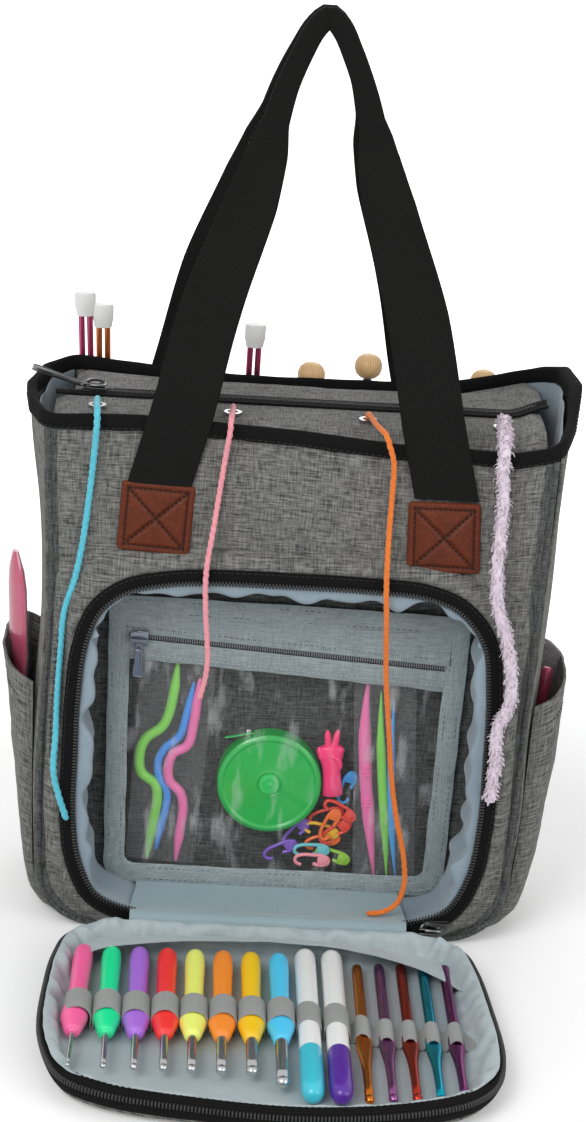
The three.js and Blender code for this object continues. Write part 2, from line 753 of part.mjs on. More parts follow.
// The lining covers the floor and runs up to the pocket's lip, where its round hem turns
const hemFrom = -42;
const hemTo = 138;
const liningNearY = flapNearY - flapWallThickness - seamGap;
const hingeStrip = across([
  ...arc(hingeY, hingeHeight, hingeHemRadius, hemFrom, hemTo),
  point(liningNearY, flapLiningTop), point(liningNearY - hingeStripLap, flapLiningTop),
  point(liningNearY - hingeStripLap, flapLiningBottom), point(liningNearY + hingeHemRadius, flapLiningBottom),
], 2 * hingeHalfWidth);
add('flap_lining', joined(
  lying(flapEdge(flapWallThickness + seamGap), [], flapLiningBottom, flapLiningThickness), hingeStrip,
), lining);

// The zip's slider waits at the lower right corner of the mouth
const cornerCentreX = openingWidth / 2 - openingBottomRadius;
const cornerCentreZ = openingBottom + openingBottomRadius;
const flapSlider = add('flap_zip_slider', standing(
  roundedRectangle(
    -flapSliderLength / 2, flapSliderLength / 2,
    zipBandWidth / 2 - openingBottomRadius - flapSliderWidth / 2,
    zipBandWidth / 2 - openingBottomRadius + flapSliderWidth / 2,
    flapSliderWidth / 4,
  ),
  [],
  0,
  flapSliderThickness,
), darkMetal);
flapSlider.position.set(cornerCentreX, pocketFace - seamGap, cornerCentreZ);
flapSlider.rotation.y = -degrees(flapSliderStart);

// Tools on the flap

const toolFloor = flapLiningTop + seamGap;
const hookAxis = toolFloor + hookShoulderRadius;
const penAxis = toolFloor + penRadius;
const slimHookAxis = toolFloor + slimHookRestRadius;

// Shares of a moulded hook's grip, from its rounded upper end to its collar: place, then which radius
const gripPlaceShares = [0, 0.02, 0.1, 0.4, 0.84, 0.88, 0.92, 0.97, 1];
const gripRadii = [0, hookEndRadius, hookGripRadius, hookGripRadius, hookGripRadius,
  hookShoulderRadius, hookShoulderRadius, hookCollarRadius, hookCollarRadius];
const tipTaperShare = 0.92;

function hook(shankRadius, length) {
  const grip = gripPlaceShares.map((share, index) => [gripRadii[index], share * hookGripLength]);
  const shankEnd = hookGripLength + (length - hookGripLength) * tipTaperShare;
  return turned([
    ...grip, [shankRadius, hookGripLength], [shankRadius, shankEnd], [shankRadius / 2, length], [0, length],
  ]);
}

const penPlaceShares = [0, 0.03, 0.97, 1];
const penRadiusShares = [0.6, 1, 1, 0.6];

function pen() {
  const body = penPlaceShares.map((share, index) => [penRadius * penRadiusShares[index], share * penLength]);
  return turned([[0, 0], ...body, [0, penLength]]);
}

const slimPlaceShares = [0, 0.02, 0.58, 0.64, 0.7, 0.97, 1];
const slimRadii = [slimHookTipRadius, slimHookRadius, slimHookRadius,
  slimHookRestRadius, slimHookRestRadius, slimHookTipRadius, slimHookTipRadius];

function slimHook() {
  const body = slimPlaceShares.map((share, index) => [slimRadii[index], share * slimHookLength]);
  return turned([[0, 0], ...body, [0, slimHookLength]]);
}

function layTool(name, geometry, material, x, topOffset, axisHeight) {
  const tool = add(name, geometry, material);
  tool.position.set(x, hingeY - topOffset, axisHeight);
  tool.rotation.z = Math.PI;
}

const firstHookX = hookMargin - flapWidth / 2;
const firstPenX = firstHookX + (hookCount - 1) * hookPitch + hookToPenPitch;
const firstSlimHookX = firstPenX + (penCount - 1) * penPitch + penToSlimHookPitch;
const slimHookSpace = flapWidth / 2 - slimHookMargin - firstSlimHookX;
const slimHookCount = Math.floor(slimHookSpace / slimHookPitch) + 1;
const loops = [];
const hookColours = {
  pink: 0xff5a96, green: 0x18d682, purple: 0x965ac3, red: 0xf03c32,
  lime: 0xdff55f, orange: 0xff8228, amber: 0xffb90a, blue: 0x41b4eb,
};
Object.entries(hookColours).forEach(([colour, value], index) => {
  const x = firstHookX + index * hookPitch;
  const shankGain = (coarsestShankRadius - finestShankRadius) / (hookCount - 1);
  const length = index + 1 < hookCount ? hookLength : hookLength + coarsestHookExtra;
  const geometry = hook(finestShankRadius + shankGain * index, length);
  layTool(`hook_${colour}`, geometry, plastic(value), x, hookTopOffset, hookAxis);
  loops.push({ x, z: hookAxis, radius: hookGripRadius + loopClearance });
});
for (let index = 0; index < penCount; index += 1) {
  const x = firstPenX + index * penPitch;
  layTool(`marker_pen_${index + 1}`, pen(), plastic(0xf2f2f0), x, penTopOffset, penAxis);
  loops.push({ x, z: penAxis, radius: penRadius + loopClearance });
}
const slimColours = [0xa55514, 0x6e3c69, 0x822d1e, 0x147d96, 0x642855];
for (let index = 0; index < slimHookCount; index += 1) {
  const x = firstSlimHookX + index * slimHookPitch;
  const topOffset = slimHookTopOffset - slimHookStagger * index;
  layTool(`slim_hook_${index + 1}`, slimHook(), anodised(slimColours[index]), x, topOffset, slimHookAxis);
  loops.push({ x, z: slimHookAxis, radius: slimHookRadius + loopClearance });
}

// The elastic band lies on the lining and arches over each tool
function bandSection() {
  const bottom = flapLiningTop + seamGap;
  const top = bottom + bandThickness;
  const under = [];
  const over = [];
  loops.forEach(({ x, z, radius }) => {
    const outer = radius + bandThickness;
    under.push(point(x - radius, bottom), ...arc(x, z, radius, 180, 0), point(x + radius, bottom));
    over.push(point(x - outer, top), ...arc(x, z, outer, 180, 0), point(x + outer, top));
  });
  const ends = hookShoulderRadius + bandThickness + loopClearance;
  const left = loops[0].x - ends;
  const right = loops[loops.length - 1].x + ends;
  return [
    point(left, bottom), ...under, point(right, bottom),
    point(right, top), ...over.reverse(), point(left, top),
  ];
}

add('elastic_band', standing(bandSection(), [], hingeY - bandOffset, bandWidth), elastic);

const slipHalfWidth = flapWidth / 2 - slipMargin;
const slipBottom = flapLiningTop + seamGap;
const slipY = hingeY - slipStart;
add('slip_pocket', across([
  point(slipY, slipBottom), point(slipY - slipLean, slipBottom + slipRise - slipFall),
  point(slipY - slipReach, slipBottom + slipRise),
  point(slipY - slipReach, slipBottom + slipRise - slipThickness),
  point(slipY - slipLean - slipThickness, slipBottom + slipRise - slipFall - slipThickness),
  point(slipY - slipThickness, slipBottom),
], 2 * slipHalfWidth), lining);

// Tape measure

const tapeThickness = clearPocketDepth - 2 * seamGap;
const tape = add('tape_measure', turned([
  [0, 0], [tapeRadius - tapeEdgeRadius, 0], [tapeRadius, tapeEdgeRadius],
  [tapeRadius, tapeThickness - tapeEdgeRadius], [tapeRadius - tapeEdgeRadius, tapeThickness],
  [0, tapeThickness],
], discSides), plastic(0x14b950));
tape.position.set(tapeX, filmBack + seamGap, windowBottom + tapeRise);

// Yarns

function yarn(name, route, radius, steps, color) {
  const path = new THREE.CatmullRomCurve3(route.map((place) => new THREE.Vector3(...place)));
  const turn = 360 / yarnSides;
  const section = new THREE.Shape(arc(0, 0, radius, 0, 360 - turn, yarnSides - 1));
  add(name, new THREE.ExtrudeGeometry(section, { steps, bevelEnabled: false, extrudePath: path }),
    new THREE.MeshStandardMaterial({ color, roughness: 0.95, metalness: 0 }));
}

yarn('yarn_turquoise', turquoiseRoute, yarnRadius, turquoiseSteps, 0x35b8cf);
yarn('yarn_pink', pinkRoute, yarnRadius, pinkSteps, 0xf09ab0);
yarn('yarn_orange', orangeRoute, yarnRadius, orangeSteps, 0xf07a2a);
yarn('yarn_lilac', lilacRoute, fluffyYarnRadius, lilacSteps, 0xd9c9e2);

export default bag;
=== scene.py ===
"""A knitting bag standing open: its cloths, trims, zips, tools and yarns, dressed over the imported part."""
import math

import bpy
import numpy as np
from mathutils import Matrix, Vector, noise


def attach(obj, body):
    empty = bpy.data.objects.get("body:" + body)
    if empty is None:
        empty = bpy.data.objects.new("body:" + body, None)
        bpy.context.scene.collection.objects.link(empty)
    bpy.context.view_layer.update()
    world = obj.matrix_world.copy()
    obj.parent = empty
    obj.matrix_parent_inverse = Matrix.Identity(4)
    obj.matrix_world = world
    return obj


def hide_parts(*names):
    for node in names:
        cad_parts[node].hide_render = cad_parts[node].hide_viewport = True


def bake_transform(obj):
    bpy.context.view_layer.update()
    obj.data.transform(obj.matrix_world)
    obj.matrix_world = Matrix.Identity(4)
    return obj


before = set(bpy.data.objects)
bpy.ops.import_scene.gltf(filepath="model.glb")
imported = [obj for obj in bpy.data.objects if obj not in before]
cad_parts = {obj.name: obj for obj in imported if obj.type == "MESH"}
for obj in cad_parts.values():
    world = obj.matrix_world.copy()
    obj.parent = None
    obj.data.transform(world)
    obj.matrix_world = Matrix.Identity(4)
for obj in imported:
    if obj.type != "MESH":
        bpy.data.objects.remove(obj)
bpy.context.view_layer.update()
scene = bpy.context.scene
scene.view_settings.view_transform = "Standard"

MM = 0.001
UP = (0, 0, 1)
FRONT = (0, -1, 0)


# Camera, light and floor

def set_camera():
    """The photograph's view: its height, turn, tilt, distance and lens."""
    height, turn, tilt = (math.radians(a) for a in (18.208, -2.544, 3.82))
    back = Vector((math.sin(turn) * math.cos(height), -math.cos(turn) * math.cos(height), math.sin(height)))
    right = (-back).cross(Vector(UP)).normalized()
    top = right.cross(-back)
    across = right * math.cos(tilt) + top * math.sin(tilt)
    upward = top * math.cos(tilt) - right * math.sin(tilt)
    data = bpy.data.cameras.new("camera")
    data.sensor_width = 36
    data.lens = 36 * 2781.19 / 1122
    camera = bpy.data.objects.new("camera", data)
    scene.collection.objects.link(camera)
    place = Vector((2.207, 0, 178.992)) * MM + back * 1.392457
    camera.matrix_world = Matrix.LocRotScale(place, Matrix((across, upward, back)).transposed(), None)
    scene.camera = camera


def add_lamp(name, place, aim, size, power):
    data = bpy.data.lights.new(name, "AREA")
    data.size, data.energy = size, power
    lamp = bpy.data.objects.new(name, data)
    lamp.location = place
    lamp.rotation_euler = (Vector(place) - Vector(aim)).to_track_quat("Z", "Y").to_euler()
    scene.collection.objects.link(lamp)


def add_node(tree, kind, values=None, **settings):
    """A shader node with its settings, and its sockets set or linked."""
    made = tree.nodes.new("ShaderNode" + kind)
    for label, value in settings.items():
        setattr(made, label, value)
    for label, value in (values or {}).items():
        if isinstance(value, bpy.types.NodeSocket):
            tree.links.new(value, made.inputs[label])
        else:
            made.inputs[label].default_value = value
    return made


def light_studio():
    world = bpy.data.worlds.new("studio")
    scene.world = world
    world.use_nodes = True
    tree = world.node_tree
    tree.nodes.clear()
    rays = add_node(tree, "LightPath")
    seen = add_node(tree, "Math", {0: rays.outputs["Is Camera Ray"], 1: rays.outputs["Is Transmission Ray"]},
                    operation="MAXIMUM")
    glossy = add_node(tree, "Math", {0: rays.outputs["Is Glossy Ray"], 1: 0.35}, operation="MULTIPLY")
    either = add_node(tree, "Math", {0: seen.outputs[0], 1: glossy.outputs[0]}, operation="MAXIMUM")
    strength = add_node(tree, "MapRange", {"Value": either.outputs[0], "To Min": 0.62, "To Max": 1})
    light = add_node(tree, "Background", {"Color": (1, 1, 1, 1), "Strength": strength.outputs[0]})
    out = add_node(tree, "OutputWorld")
    tree.links.new(light.outputs[0], out.inputs[0])
    add_lamp("key", (-0.9, -1.5, 1.5), (0, -0.05, 0.15), 1.1, 21)
    add_lamp("fill", (1.5, -1.1, 0.9), (0, 0, 0.2), 1.2, 8)
    add_lamp("back_light", (0.2, 1.6, 1.3), (0, 0, 0.25), 1.2, 9)
    bpy.ops.mesh.primitive_plane_add(size=24, location=(0, 0, -0.0004))
    floor = bpy.context.object
    floor.name = "floor"
    paint = bpy.data.materials.new("pale_floor")
    paint.use_nodes = True
    tree = paint.node_tree
    rays = add_node(tree, "LightPath")
    seen = add_node(tree, "Math", {0: rays.outputs["Is Camera Ray"], 1: rays.outputs["Is Transmission Ray"]},
                    operation="MAXIMUM")
    away = add_node(tree, "VectorMath", {0: add_node(tree, "TexCoord").outputs["Object"]}, operation="LENGTH")
    pale = add_node(tree, "MapRange", {"Value": away.outputs["Value"], "From Min": 0.22, "From Max": 0.9,
                                       "To Min": 0.17, "To Max": 0.95})
    glow = add_node(tree, "Math", {0: seen.outputs[0], 1: pale.outputs[0]}, operation="MULTIPLY")
    surface = tree.nodes["Principled BSDF"]
    surface.inputs["Base Color"].default_value = (0.86, 0.86, 0.86, 1)
    surface.inputs["Roughness"].default_value = 0.9
    surface.inputs["Specular IOR Level"].default_value = 0.1
    surface.inputs["Emission Color"].default_value = (1, 1, 1, 1)
    tree.links.new(glow.outputs[0], surface.inputs["Emission Strength"])
    floor.data.materials.append(paint)


set_camera()
light_studio()


# Colours and finishes

def rgb(red, green, blue):
    """A colour as a screen shows it, from 0 to 255, as the light it stands for."""
    shares = [c / 255 for c in (red, green, blue)]
    return tuple(s / 12.92 if s <= 0.04045 else ((s + 0.055) / 1.055) ** 2.4 for s in shares) + (1,)


def sums(tree, operation, first, second=0.0, third=None):
    values = {0: first, 1: second}
    if third is not None:
        values[2] = third
    return add_node(tree, "Math", values, operation=operation).outputs[0]


def blended(tree, share, first, second, way="MIX"):
    return add_node(tree, "Mix", {0: share, 6: first, 7: second}, data_type="RGBA", blend_type=way).outputs[2]


def new_group(name, takes, gives):
    tree = bpy.data.node_groups.new(name, "ShaderNodeTree")
    for label, kind in takes.items():
        tree.interface.new_socket(label, in_out="INPUT", socket_type="NodeSocket" + kind)
    for label, kind in gives.items():
        tree.interface.new_socket(label, in_out="OUTPUT", socket_type="NodeSocket" + kind)
    return tree, tree.nodes.new("NodeGroupInput").outputs, tree.nodes.new("NodeGroupOutput").inputs


def place_group(tree, group, values):
    made = add_node(tree, "Group", node_tree=group)
    for label, value in values.items():
        if isinstance(value, bpy.types.NodeSocket):
            tree.links.new(value, made.inputs[label])
        else:
            made.inputs[label].default_value = value
    return made.outputs


def noise_of(tree, vector, scale, detail=2.0, roughness=0.5):
    return add_node(tree, "TexNoise", {"Vector": vector, "Scale": scale, "Detail": detail,
                                       "Roughness": roughness}).outputs[0]


def scaled(tree, vector, x, y, z=1.0):
    return add_node(tree, "Mapping", {"Vector": vector, "Scale": (x, y, z)}).outputs[0]


def build_weave():
    """Crossing threads: a height for the bump, and streaks of lighter and darker yarn both ways."""
    tree, given, gives = new_group("weave", {"Vector": "Vector", "Threads": "Float", "Contrast": "Float"},
                                   {"Height": "Float", "Streak": "Float"})
    parts = add_node(tree, "SeparateXYZ", {0: given["Vector"]}).outputs
    turns = sums(tree, "MULTIPLY", given["Threads"], math.pi)
    across = sums(tree, "SINE", sums(tree, "MULTIPLY", parts[0], turns))
    along = sums(tree, "SINE", sums(tree, "MULTIPLY", parts[1], turns))
    crossing = sums(tree, "MULTIPLY_ADD", sums(tree, "MULTIPLY", across, along), 0.5, 0.5)
    flat = noise_of(tree, scaled(tree, given["Vector"], 95, 1300), 1, 3, 0.65)
    upright = noise_of(tree, scaled(tree, given["Vector"], 1300, 120), 1, 3, 0.65)
    patchy = noise_of(tree, scaled(tree, given["Vector"], 300, 420), 1, 2)
    both = sums(tree, "MULTIPLY_ADD", flat, 0.5, sums(tree, "MULTIPLY_ADD", upright, 0.36,
                                                      sums(tree, "MULTIPLY", patchy, 0.14)))
    spread = sums(tree, "MULTIPLY_ADD", sums(tree, "SUBTRACT", both, 0.5), given["Contrast"], 0.5)
    tree.links.new(crossing, gives["Height"])
    tree.links.new(add_node(tree, "Clamp", {0: spread}).outputs[0], gives["Streak"])
    return tree


def build_ribs():
    """Ribs along a tape or band, with a fine cross thread."""
    tree, given, gives = new_group("ribs", {"Vector": "Vector", "Ribs": "Float", "Picks": "Float"},
                                   {"Height": "Float"})
    parts = add_node(tree, "SeparateXYZ", {0: given["Vector"]}).outputs
    rib = sums(tree, "SINE", sums(tree, "MULTIPLY", parts[0], sums(tree, "MULTIPLY", given["Ribs"], 2 * math.pi)))
    picks = sums(tree, "MULTIPLY", parts[1], sums(tree, "MULTIPLY", given["Picks"], 2 * math.pi))
    pick = sums(tree, "SINE", sums(tree, "MULTIPLY_ADD", rib, 1.2, picks))
    whole = sums(tree, "MULTIPLY_ADD", rib, 0.3, sums(tree, "MULTIPLY_ADD", pick, 0.2, 0.5))
    tree.links.new(whole, gives["Height"])
    return tree


def build_tone():
    """Broad soft unevenness of a colour, about one."""
    tree, given, gives = new_group("tone", {"Vector": "Vector", "Size": "Float", "Amount": "Float"},
                                   {"Shade": "Float"})
    cloud = noise_of(tree, given["Vector"], given["Size"], 3)
    swing = sums(tree, "MULTIPLY", sums(tree, "SUBTRACT", cloud, 0.5), given["Amount"])
    tree.links.new(sums(tree, "ADD", swing, 1), gives["Shade"])
    return tree


def build_wear():
    """Where a surface turns outwards sharply, it is rubbed."""
    tree, given, gives = new_group("wear", {"Amount": "Float"}, {"Mask": "Float"})
    bend = add_node(tree, "NewGeometry").outputs["Pointiness"]
    ramp = add_node(tree, "MapRange", {"Value": bend, "From Min": 0.52, "From Max": 0.62})
    tree.links.new(sums(tree, "MULTIPLY", ramp.outputs[0], given["Amount"]), gives["Mask"])
    return tree


def build_grain():
    """Pebbled grain, as on leather."""
    tree, given, gives = new_group("grain", {"Vector": "Vector", "Size": "Float"}, {"Height": "Float"})
    cells = add_node(tree, "TexVoronoi", {"Vector": given["Vector"], "Scale": given["Size"]}).outputs[0]
    creases = noise_of(tree, given["Vector"], sums(tree, "MULTIPLY", given["Size"], 0.4), 4)
    tree.links.new(sums(tree, "MULTIPLY_ADD", cells, 0.6, sums(tree, "MULTIPLY", creases, 0.5)),
                   gives["Height"])
    return tree


WEAVE, RIBS, TONE, WEAR, GRAIN = build_weave(), build_ribs(), build_tone(), build_wear(), build_grain()


def new_paint(name, **values):
    """A material, its tree, its surface shader and the object's own coordinates."""
    paint = bpy.data.materials.new(name)
    paint.use_nodes = True
    tree = paint.node_tree
    surface = tree.nodes["Principled BSDF"]
    for label, value in values.items():
        surface.inputs[label.replace("_", " ")].default_value = value
    return paint, tree, surface


def own_place(tree):
    return add_node(tree, "TexCoord").outputs["Object"]


def own_layout(tree):
    return add_node(tree, "UVMap", uv_map="UVMap").outputs[0]


def emboss(tree, surface, height, strength, distance):
    bump = add_node(tree, "Bump", {"Height": height, "Strength": strength, "Distance": distance})
    tree.links.new(bump.outputs[0], surface.inputs["Normal"])


def two_tone(tree, share, dark, light, shade):
    """A colour between two, then made lighter or darker by a shade."""
    base = blended(tree, share, dark, light)
    grey = add_node(tree, "CombineXYZ", {0: shade, 1: shade, 2: shade}).outputs[0]
    return blended(tree, 1.0, base, grey, "MULTIPLY")


def woven_paint(name, dark, light, threads=1500, contrast=3.2, roughness=0.9, sheen=0.15, depth=0.5,
                tone=0.25):
    paint, tree, surface = new_paint(name, Roughness=roughness, Sheen_Weight=sheen)
    layout = own_layout(tree)
    weave = place_group(tree, WEAVE, {"Vector": layout, "Threads": threads, "Contrast": contrast})
    shade = place_group(tree, TONE, {"Vector": layout, "Size": 14.0, "Amount": tone})["Shade"]
    tree.links.new(two_tone(tree, weave["Streak"], dark, light, shade), surface.inputs["Base Color"])
    height = sums(tree, "MULTIPLY_ADD", weave["Height"], 0.4, sums(tree, "MULTIPLY", weave["Streak"], 0.6))
    emboss(tree, surface, height, depth, 0.0004)
    return paint


def ribbed_paint(name, dark, light, ribs=1100, picks=800, roughness=0.75, depth=0.6, tone=0.3, sheen=0.1,
                 shine=0.5):
    paint, tree, surface = new_paint(name, Roughness=roughness, Sheen_Weight=sheen, Specular_IOR_Level=shine)
    layout = own_layout(tree)
    rib = place_group(tree, RIBS, {"Vector": layout, "Ribs": ribs, "Picks": picks})["Height"]
    shade = place_group(tree, TONE, {"Vector": layout, "Size": 25.0, "Amount": tone})["Shade"]
    tree.links.new(two_tone(tree, rib, dark, light, shade), surface.inputs["Base Color"])
    emboss(tree, surface, rib, depth, 0.0005)
    return paint


def moulded_paint(name, colour, roughness=0.35, worn=0.12, tone=0.12, coat=0.1, size=900, depth=0.05, **more):
    """Moulded plastic: an even colour that drifts a little, a fine skin, and paler rubbed edges."""
    paint, tree, surface = new_paint(name, Roughness=roughness, Coat_Weight=coat, **more)
    place = own_place(tree)
    shade = place_group(tree, TONE, {"Vector": place, "Size": 60.0, "Amount": tone})["Shade"]
    mask = place_group(tree, WEAR, {"Amount": worn})["Mask"]
    pale = tuple(c + (1 - c) * 0.6 for c in colour[:3]) + (1,)
    tree.links.new(two_tone(tree, mask, colour, pale, shade), surface.inputs["Base Color"])
    emboss(tree, surface, noise_of(tree, place, size), depth, 0.0003)
    return paint


def metal_paint(name, colour, roughness=0.25, tone=0.2, brushed=0.1, worn=0.4):
    """Metal with faint drawn lines and smudges in its polish."""
    paint, tree, surface = new_paint(name, Metallic=1.0)
    place = own_place(tree)
    shade = place_group(tree, TONE, {"Vector": place, "Size": 90.0, "Amount": tone})["Shade"]
    mask = place_group(tree, WEAR, {"Amount": worn})["Mask"]
    pale = tuple(c + (1 - c) * 0.5 for c in colour[:3]) + (1,)
    tree.links.new(two_tone(tree, mask, colour, pale, shade), surface.inputs["Base Color"])
    lines = noise_of(tree, scaled(tree, place, 1800, 90, 1800), 1, 3)
    tree.links.new(sums(tree, "MULTIPLY_ADD", lines, 0.2, roughness - 0.1), surface.inputs["Roughness"])
    emboss(tree, surface, lines, brushed, 0.0001)
    return paint


def leather_paint():
    paint, tree, surface = new_paint("brown_leather", Roughness=0.5, Coat_Weight=0.03,
                                     Specular_IOR_Level=0.25)
    place = own_place(tree)
    grain = place_group(tree, GRAIN, {"Vector": place, "Size": 900.0})["Height"]
    shade = place_group(tree, TONE, {"Vector": place, "Size": 70.0, "Amount": 0.5})["Shade"]
    mask = place_group(tree, WEAR, {"Amount": 0.5})["Mask"]
    base = two_tone(tree, grain, rgb(56, 20, 7), rgb(110, 46, 18), shade)
    tree.links.new(blended(tree, mask, base, rgb(122, 58, 28)), surface.inputs["Base Color"])
    tree.links.new(sums(tree, "MULTIPLY_ADD", grain, 0.25, 0.38), surface.inputs["Roughness"])
    emboss(tree, surface, grain, 0.35, 0.0005)
    return paint


def film_paint(name="clear_film", clear=0.012):
    """Clear limp film: mostly see-through, with painted glints where it is whiter and less clear along the crease
    noise; the same noise bumps it.
    """
    paint, tree, surface = new_paint(name, Roughness=0.06, Base_Color=(0.93, 0.95, 0.96, 1), Coat_Weight=0.4)
    place = own_place(tree)
    creases = noise_of(tree, scaled(tree, place, 120, 120, 34), 1, 3, 0.55)
    # Painted glints: where the crease noise peaks, the white film becomes less clear.
    painted_glint = add_node(tree, "MapRange", {"Value": creases, "From Min": 0.56, "From Max": 0.74, "To Min": clear,
                                        "To Max": clear + 0.15}).outputs[0]
    tree.links.new(painted_glint, surface.inputs["Alpha"])
    emboss(tree, surface, creases, 0.6, 0.003)
    return paint


def yarn_paint(name, dark, light, sheen=0.3):
    """Spun fibres that wind round the cord."""
    paint, tree, surface = new_paint(name, Roughness=0.85, Sheen_Weight=sheen)
    layout = own_layout(tree)
    fibres = noise_of(tree, add_node(tree, "Mapping", {"Vector": layout, "Scale": (2600, 420, 1),
                                                       "Rotation": (0, 0, 0.5)}).outputs[0], 1, 4, 0.7)
    shade = place_group(tree, TONE, {"Vector": layout, "Size": 120.0, "Amount": 0.3})["Shade"]
    share = add_node(tree, "MapRange", {"Value": fibres, "From Min": 0.3, "From Max": 0.7}).outputs[0]
    tree.links.new(two_tone(tree, share, dark, light, shade), surface.inputs["Base Color"])
    emboss(tree, surface, fibres, 0.7, 0.0006)
    return paint


def wood_paint():
    paint, tree, surface = new_paint("pale_wood", Roughness=0.45, Coat_Weight=0.15)
    place = own_place(tree)
    rings = add_node(tree, "TexWave", {"Vector": scaled(tree, place, 1, 1, 0.2), "Scale": 260.0, "Distortion": 5.0,
                                       "Detail": 3.0}).outputs[1]
    shade = place_group(tree, TONE, {"Vector": place, "Size": 80.0, "Amount": 0.3})["Shade"]
    tree.links.new(two_tone(tree, rings, rgb(204, 164, 112), rgb(222, 186, 136), shade),
                   surface.inputs["Base Color"])
    emboss(tree, surface, rings, 0.08, 0.0003)
    return paint


HEATHER = woven_paint("heather_cloth", rgb(38, 39, 38), rgb(137, 137, 133), contrast=4.6, sheen=0.04)
# The heather cloth darkened as painted shade: for the cloth deep inside the front pocket and for the shadowed lines
# along the piping.
SHADED_HEATHER = woven_paint("shaded_heather", rgb(20, 21, 21), rgb(96, 98, 97), contrast=5.0, sheen=0.05)
LINING = woven_paint("lining_cloth", rgb(120, 138, 150), rgb(150, 168, 180), 2200, 1.4, 0.55, 0.35, 0.25)
TRAY_LINING = woven_paint("tray_lining", rgb(150, 164, 168), rgb(182, 194, 197), 2200, 1.4, 0.6, 0.3, 0.25)
STRIP_CLOTH = woven_paint("strip_cloth", rgb(130, 153, 161), rgb(160, 182, 189), 2200, 1.2, 0.5, 0.35, 0.2)
FRAME_TAPE = woven_paint("frame_tape", rgb(112, 124, 127), rgb(168, 179, 181), 1400, 3.0, 0.7, 0.1, 0.6)
BLACK_TAPE = ribbed_paint("black_tape", rgb(7, 7, 7), rgb(26, 26, 26), roughness=0.85, sheen=0.0, shine=0.12)
WEBBING = ribbed_paint("black_webbing", rgb(10, 10, 10), rgb(27, 27, 26), 900, 760, 0.85, 0.7, 0.3, 0.0, 0.15)
ELASTIC = ribbed_paint("grey_elastic", rgb(144, 146, 145), rgb(160, 162, 160), 900, 1500, 0.7, 0.2)
TEETH = moulded_paint("black_nylon", rgb(11, 11, 11), 0.42, 0.04, 0.3, 0.0)
LEATHER = leather_paint()
LEATHER_THREAD = yarn_paint("brown_thread", rgb(20, 9, 5), rgb(38, 17, 9), 0.02)
GREY_THREAD = yarn_paint("grey_thread", rgb(52, 60, 63), rgb(80, 88, 92))
PALE_THREAD = yarn_paint("pale_thread", rgb(168, 178, 184), rgb(205, 212, 216))
DARK_THREAD = yarn_paint("dark_thread", rgb(20, 20, 20), rgb(38, 38, 38), 0.05)
STEEL = metal_paint("bright_steel", rgb(205, 206, 208), 0.22, 0.08, 0.0, 0.1)
ZINC = metal_paint("dark_zinc", rgb(62, 65, 70), 0.34)
ENAMEL = metal_paint("blue_grey_enamel", rgb(104, 116, 134), 0.35)
NICKEL = metal_paint("eyelet_nickel", rgb(190, 190, 190), 0.22)
FILM = film_paint()
WHITE_PLASTIC = moulded_paint("white_plastic", rgb(240, 241, 240), 0.3, 0.05, 0.06, 0.3)
CAP_WHITE = moulded_paint("cap_white", rgb(226, 226, 224), 0.4, 0.1, 0.1)
WOOD = wood_paint()


# Modelling helpers. Sizes are in millimetres until a mesh is made.

def deselect():
    if bpy.context.mode != "OBJECT":
        bpy.ops.object.mode_set(mode="OBJECT")
    bpy.ops.object.select_all(action="DESELECT")


def pick(piece):
    deselect()
    piece.select_set(True)
    bpy.context.view_layer.objects.active = piece


def ease(value, low, high):
    share = np.clip((np.asarray(value, float) - low) / (high - low), 0, 1)
    return share * share * (3 - 2 * share)


def unit(vectors):
    vectors = np.asarray(vectors, float)
    return vectors / np.maximum(np.linalg.norm(vectors, axis=-1, keepdims=True), 1e-9)


def grain_noise(points, size, seed):
    """Smooth unevenness from -1 to 1 at each point, with a size in mm."""
    flat = np.asarray(points, float).reshape(-1, 3) / size
    values = [noise.noise(Vector((p[0] + seed, p[1] - seed, p[2] + 2 * seed))) for p in flat]
    return np.array(values).reshape(np.shape(points)[:-1])


def smooth_line(points, count, loop=False):
    """One smooth curve through points, as evenly spaced points."""
    line = np.asarray(points, float)
    if loop:
        line = np.vstack([line[-2:], line, line[:3]])
    knots = np.concatenate([[0], np.cumsum(np.sqrt(np.linalg.norm(np.diff(line, axis=0), axis=1)))])
    slopes = np.gradient(line, knots, axis=0)
    dense = []
    first, last = (2, len(line) - 3) if loop else (0, len(line) - 1)
    for i in range(first, last):
        gap = knots[i + 1] - knots[i]
        u = np.linspace(0, 1, 24, endpoint=False)[:, None]
        dense.append((2 * u**3 - 3 * u**2 + 1) * line[i] + (u**3 - 2 * u**2 + u) * gap * slopes[i]
                     + (3 * u**2 - 2 * u**3) * line[i + 1] + (u**3 - u**2) * gap * slopes[i + 1])
    dense = np.vstack(dense + [line[last:last + 1]])
    return evenly(dense, count, loop)


def evenly(line, count, loop=False):
    line = np.asarray(line, float)
    lengths = np.concatenate([[0], np.cumsum(np.linalg.norm(np.diff(line, axis=0), axis=1))])
    places = np.linspace(0, lengths[-1], count + 1 if loop else count)
    spaced = np.stack([np.interp(places, lengths, line[:, k]) for k in range(line.shape[1])], -1)
    return spaced[:-1] if loop else spaced


def set_layout(piece, rows, flat=None):
    """The piece's own layout in metres: along its rows and columns, or as drawn flat."""
    if flat is None:
        across = np.linalg.norm(np.diff(rows, axis=1), axis=2).mean(0)
        along = np.linalg.norm(np.diff(rows, axis=0), axis=2).mean(1)
        u, v = np.meshgrid(np.concatenate([[0], np.cumsum(across)]), np.concatenate([[0], np.cumsum(along)]))
        layout = np.stack([u, v], -1)
    else:
        layout = rows[..., list(flat)]
    layout = layout.reshape(-1, 2) * MM
    corners = np.zeros(len(piece.data.loops), np.int64)
    piece.data.loops.foreach_get("vertex_index", corners)
    piece.data.uv_layers[0].name = "UVMap"
    piece.data.uv_layers["UVMap"].data.foreach_set("uv", layout[corners].ravel())


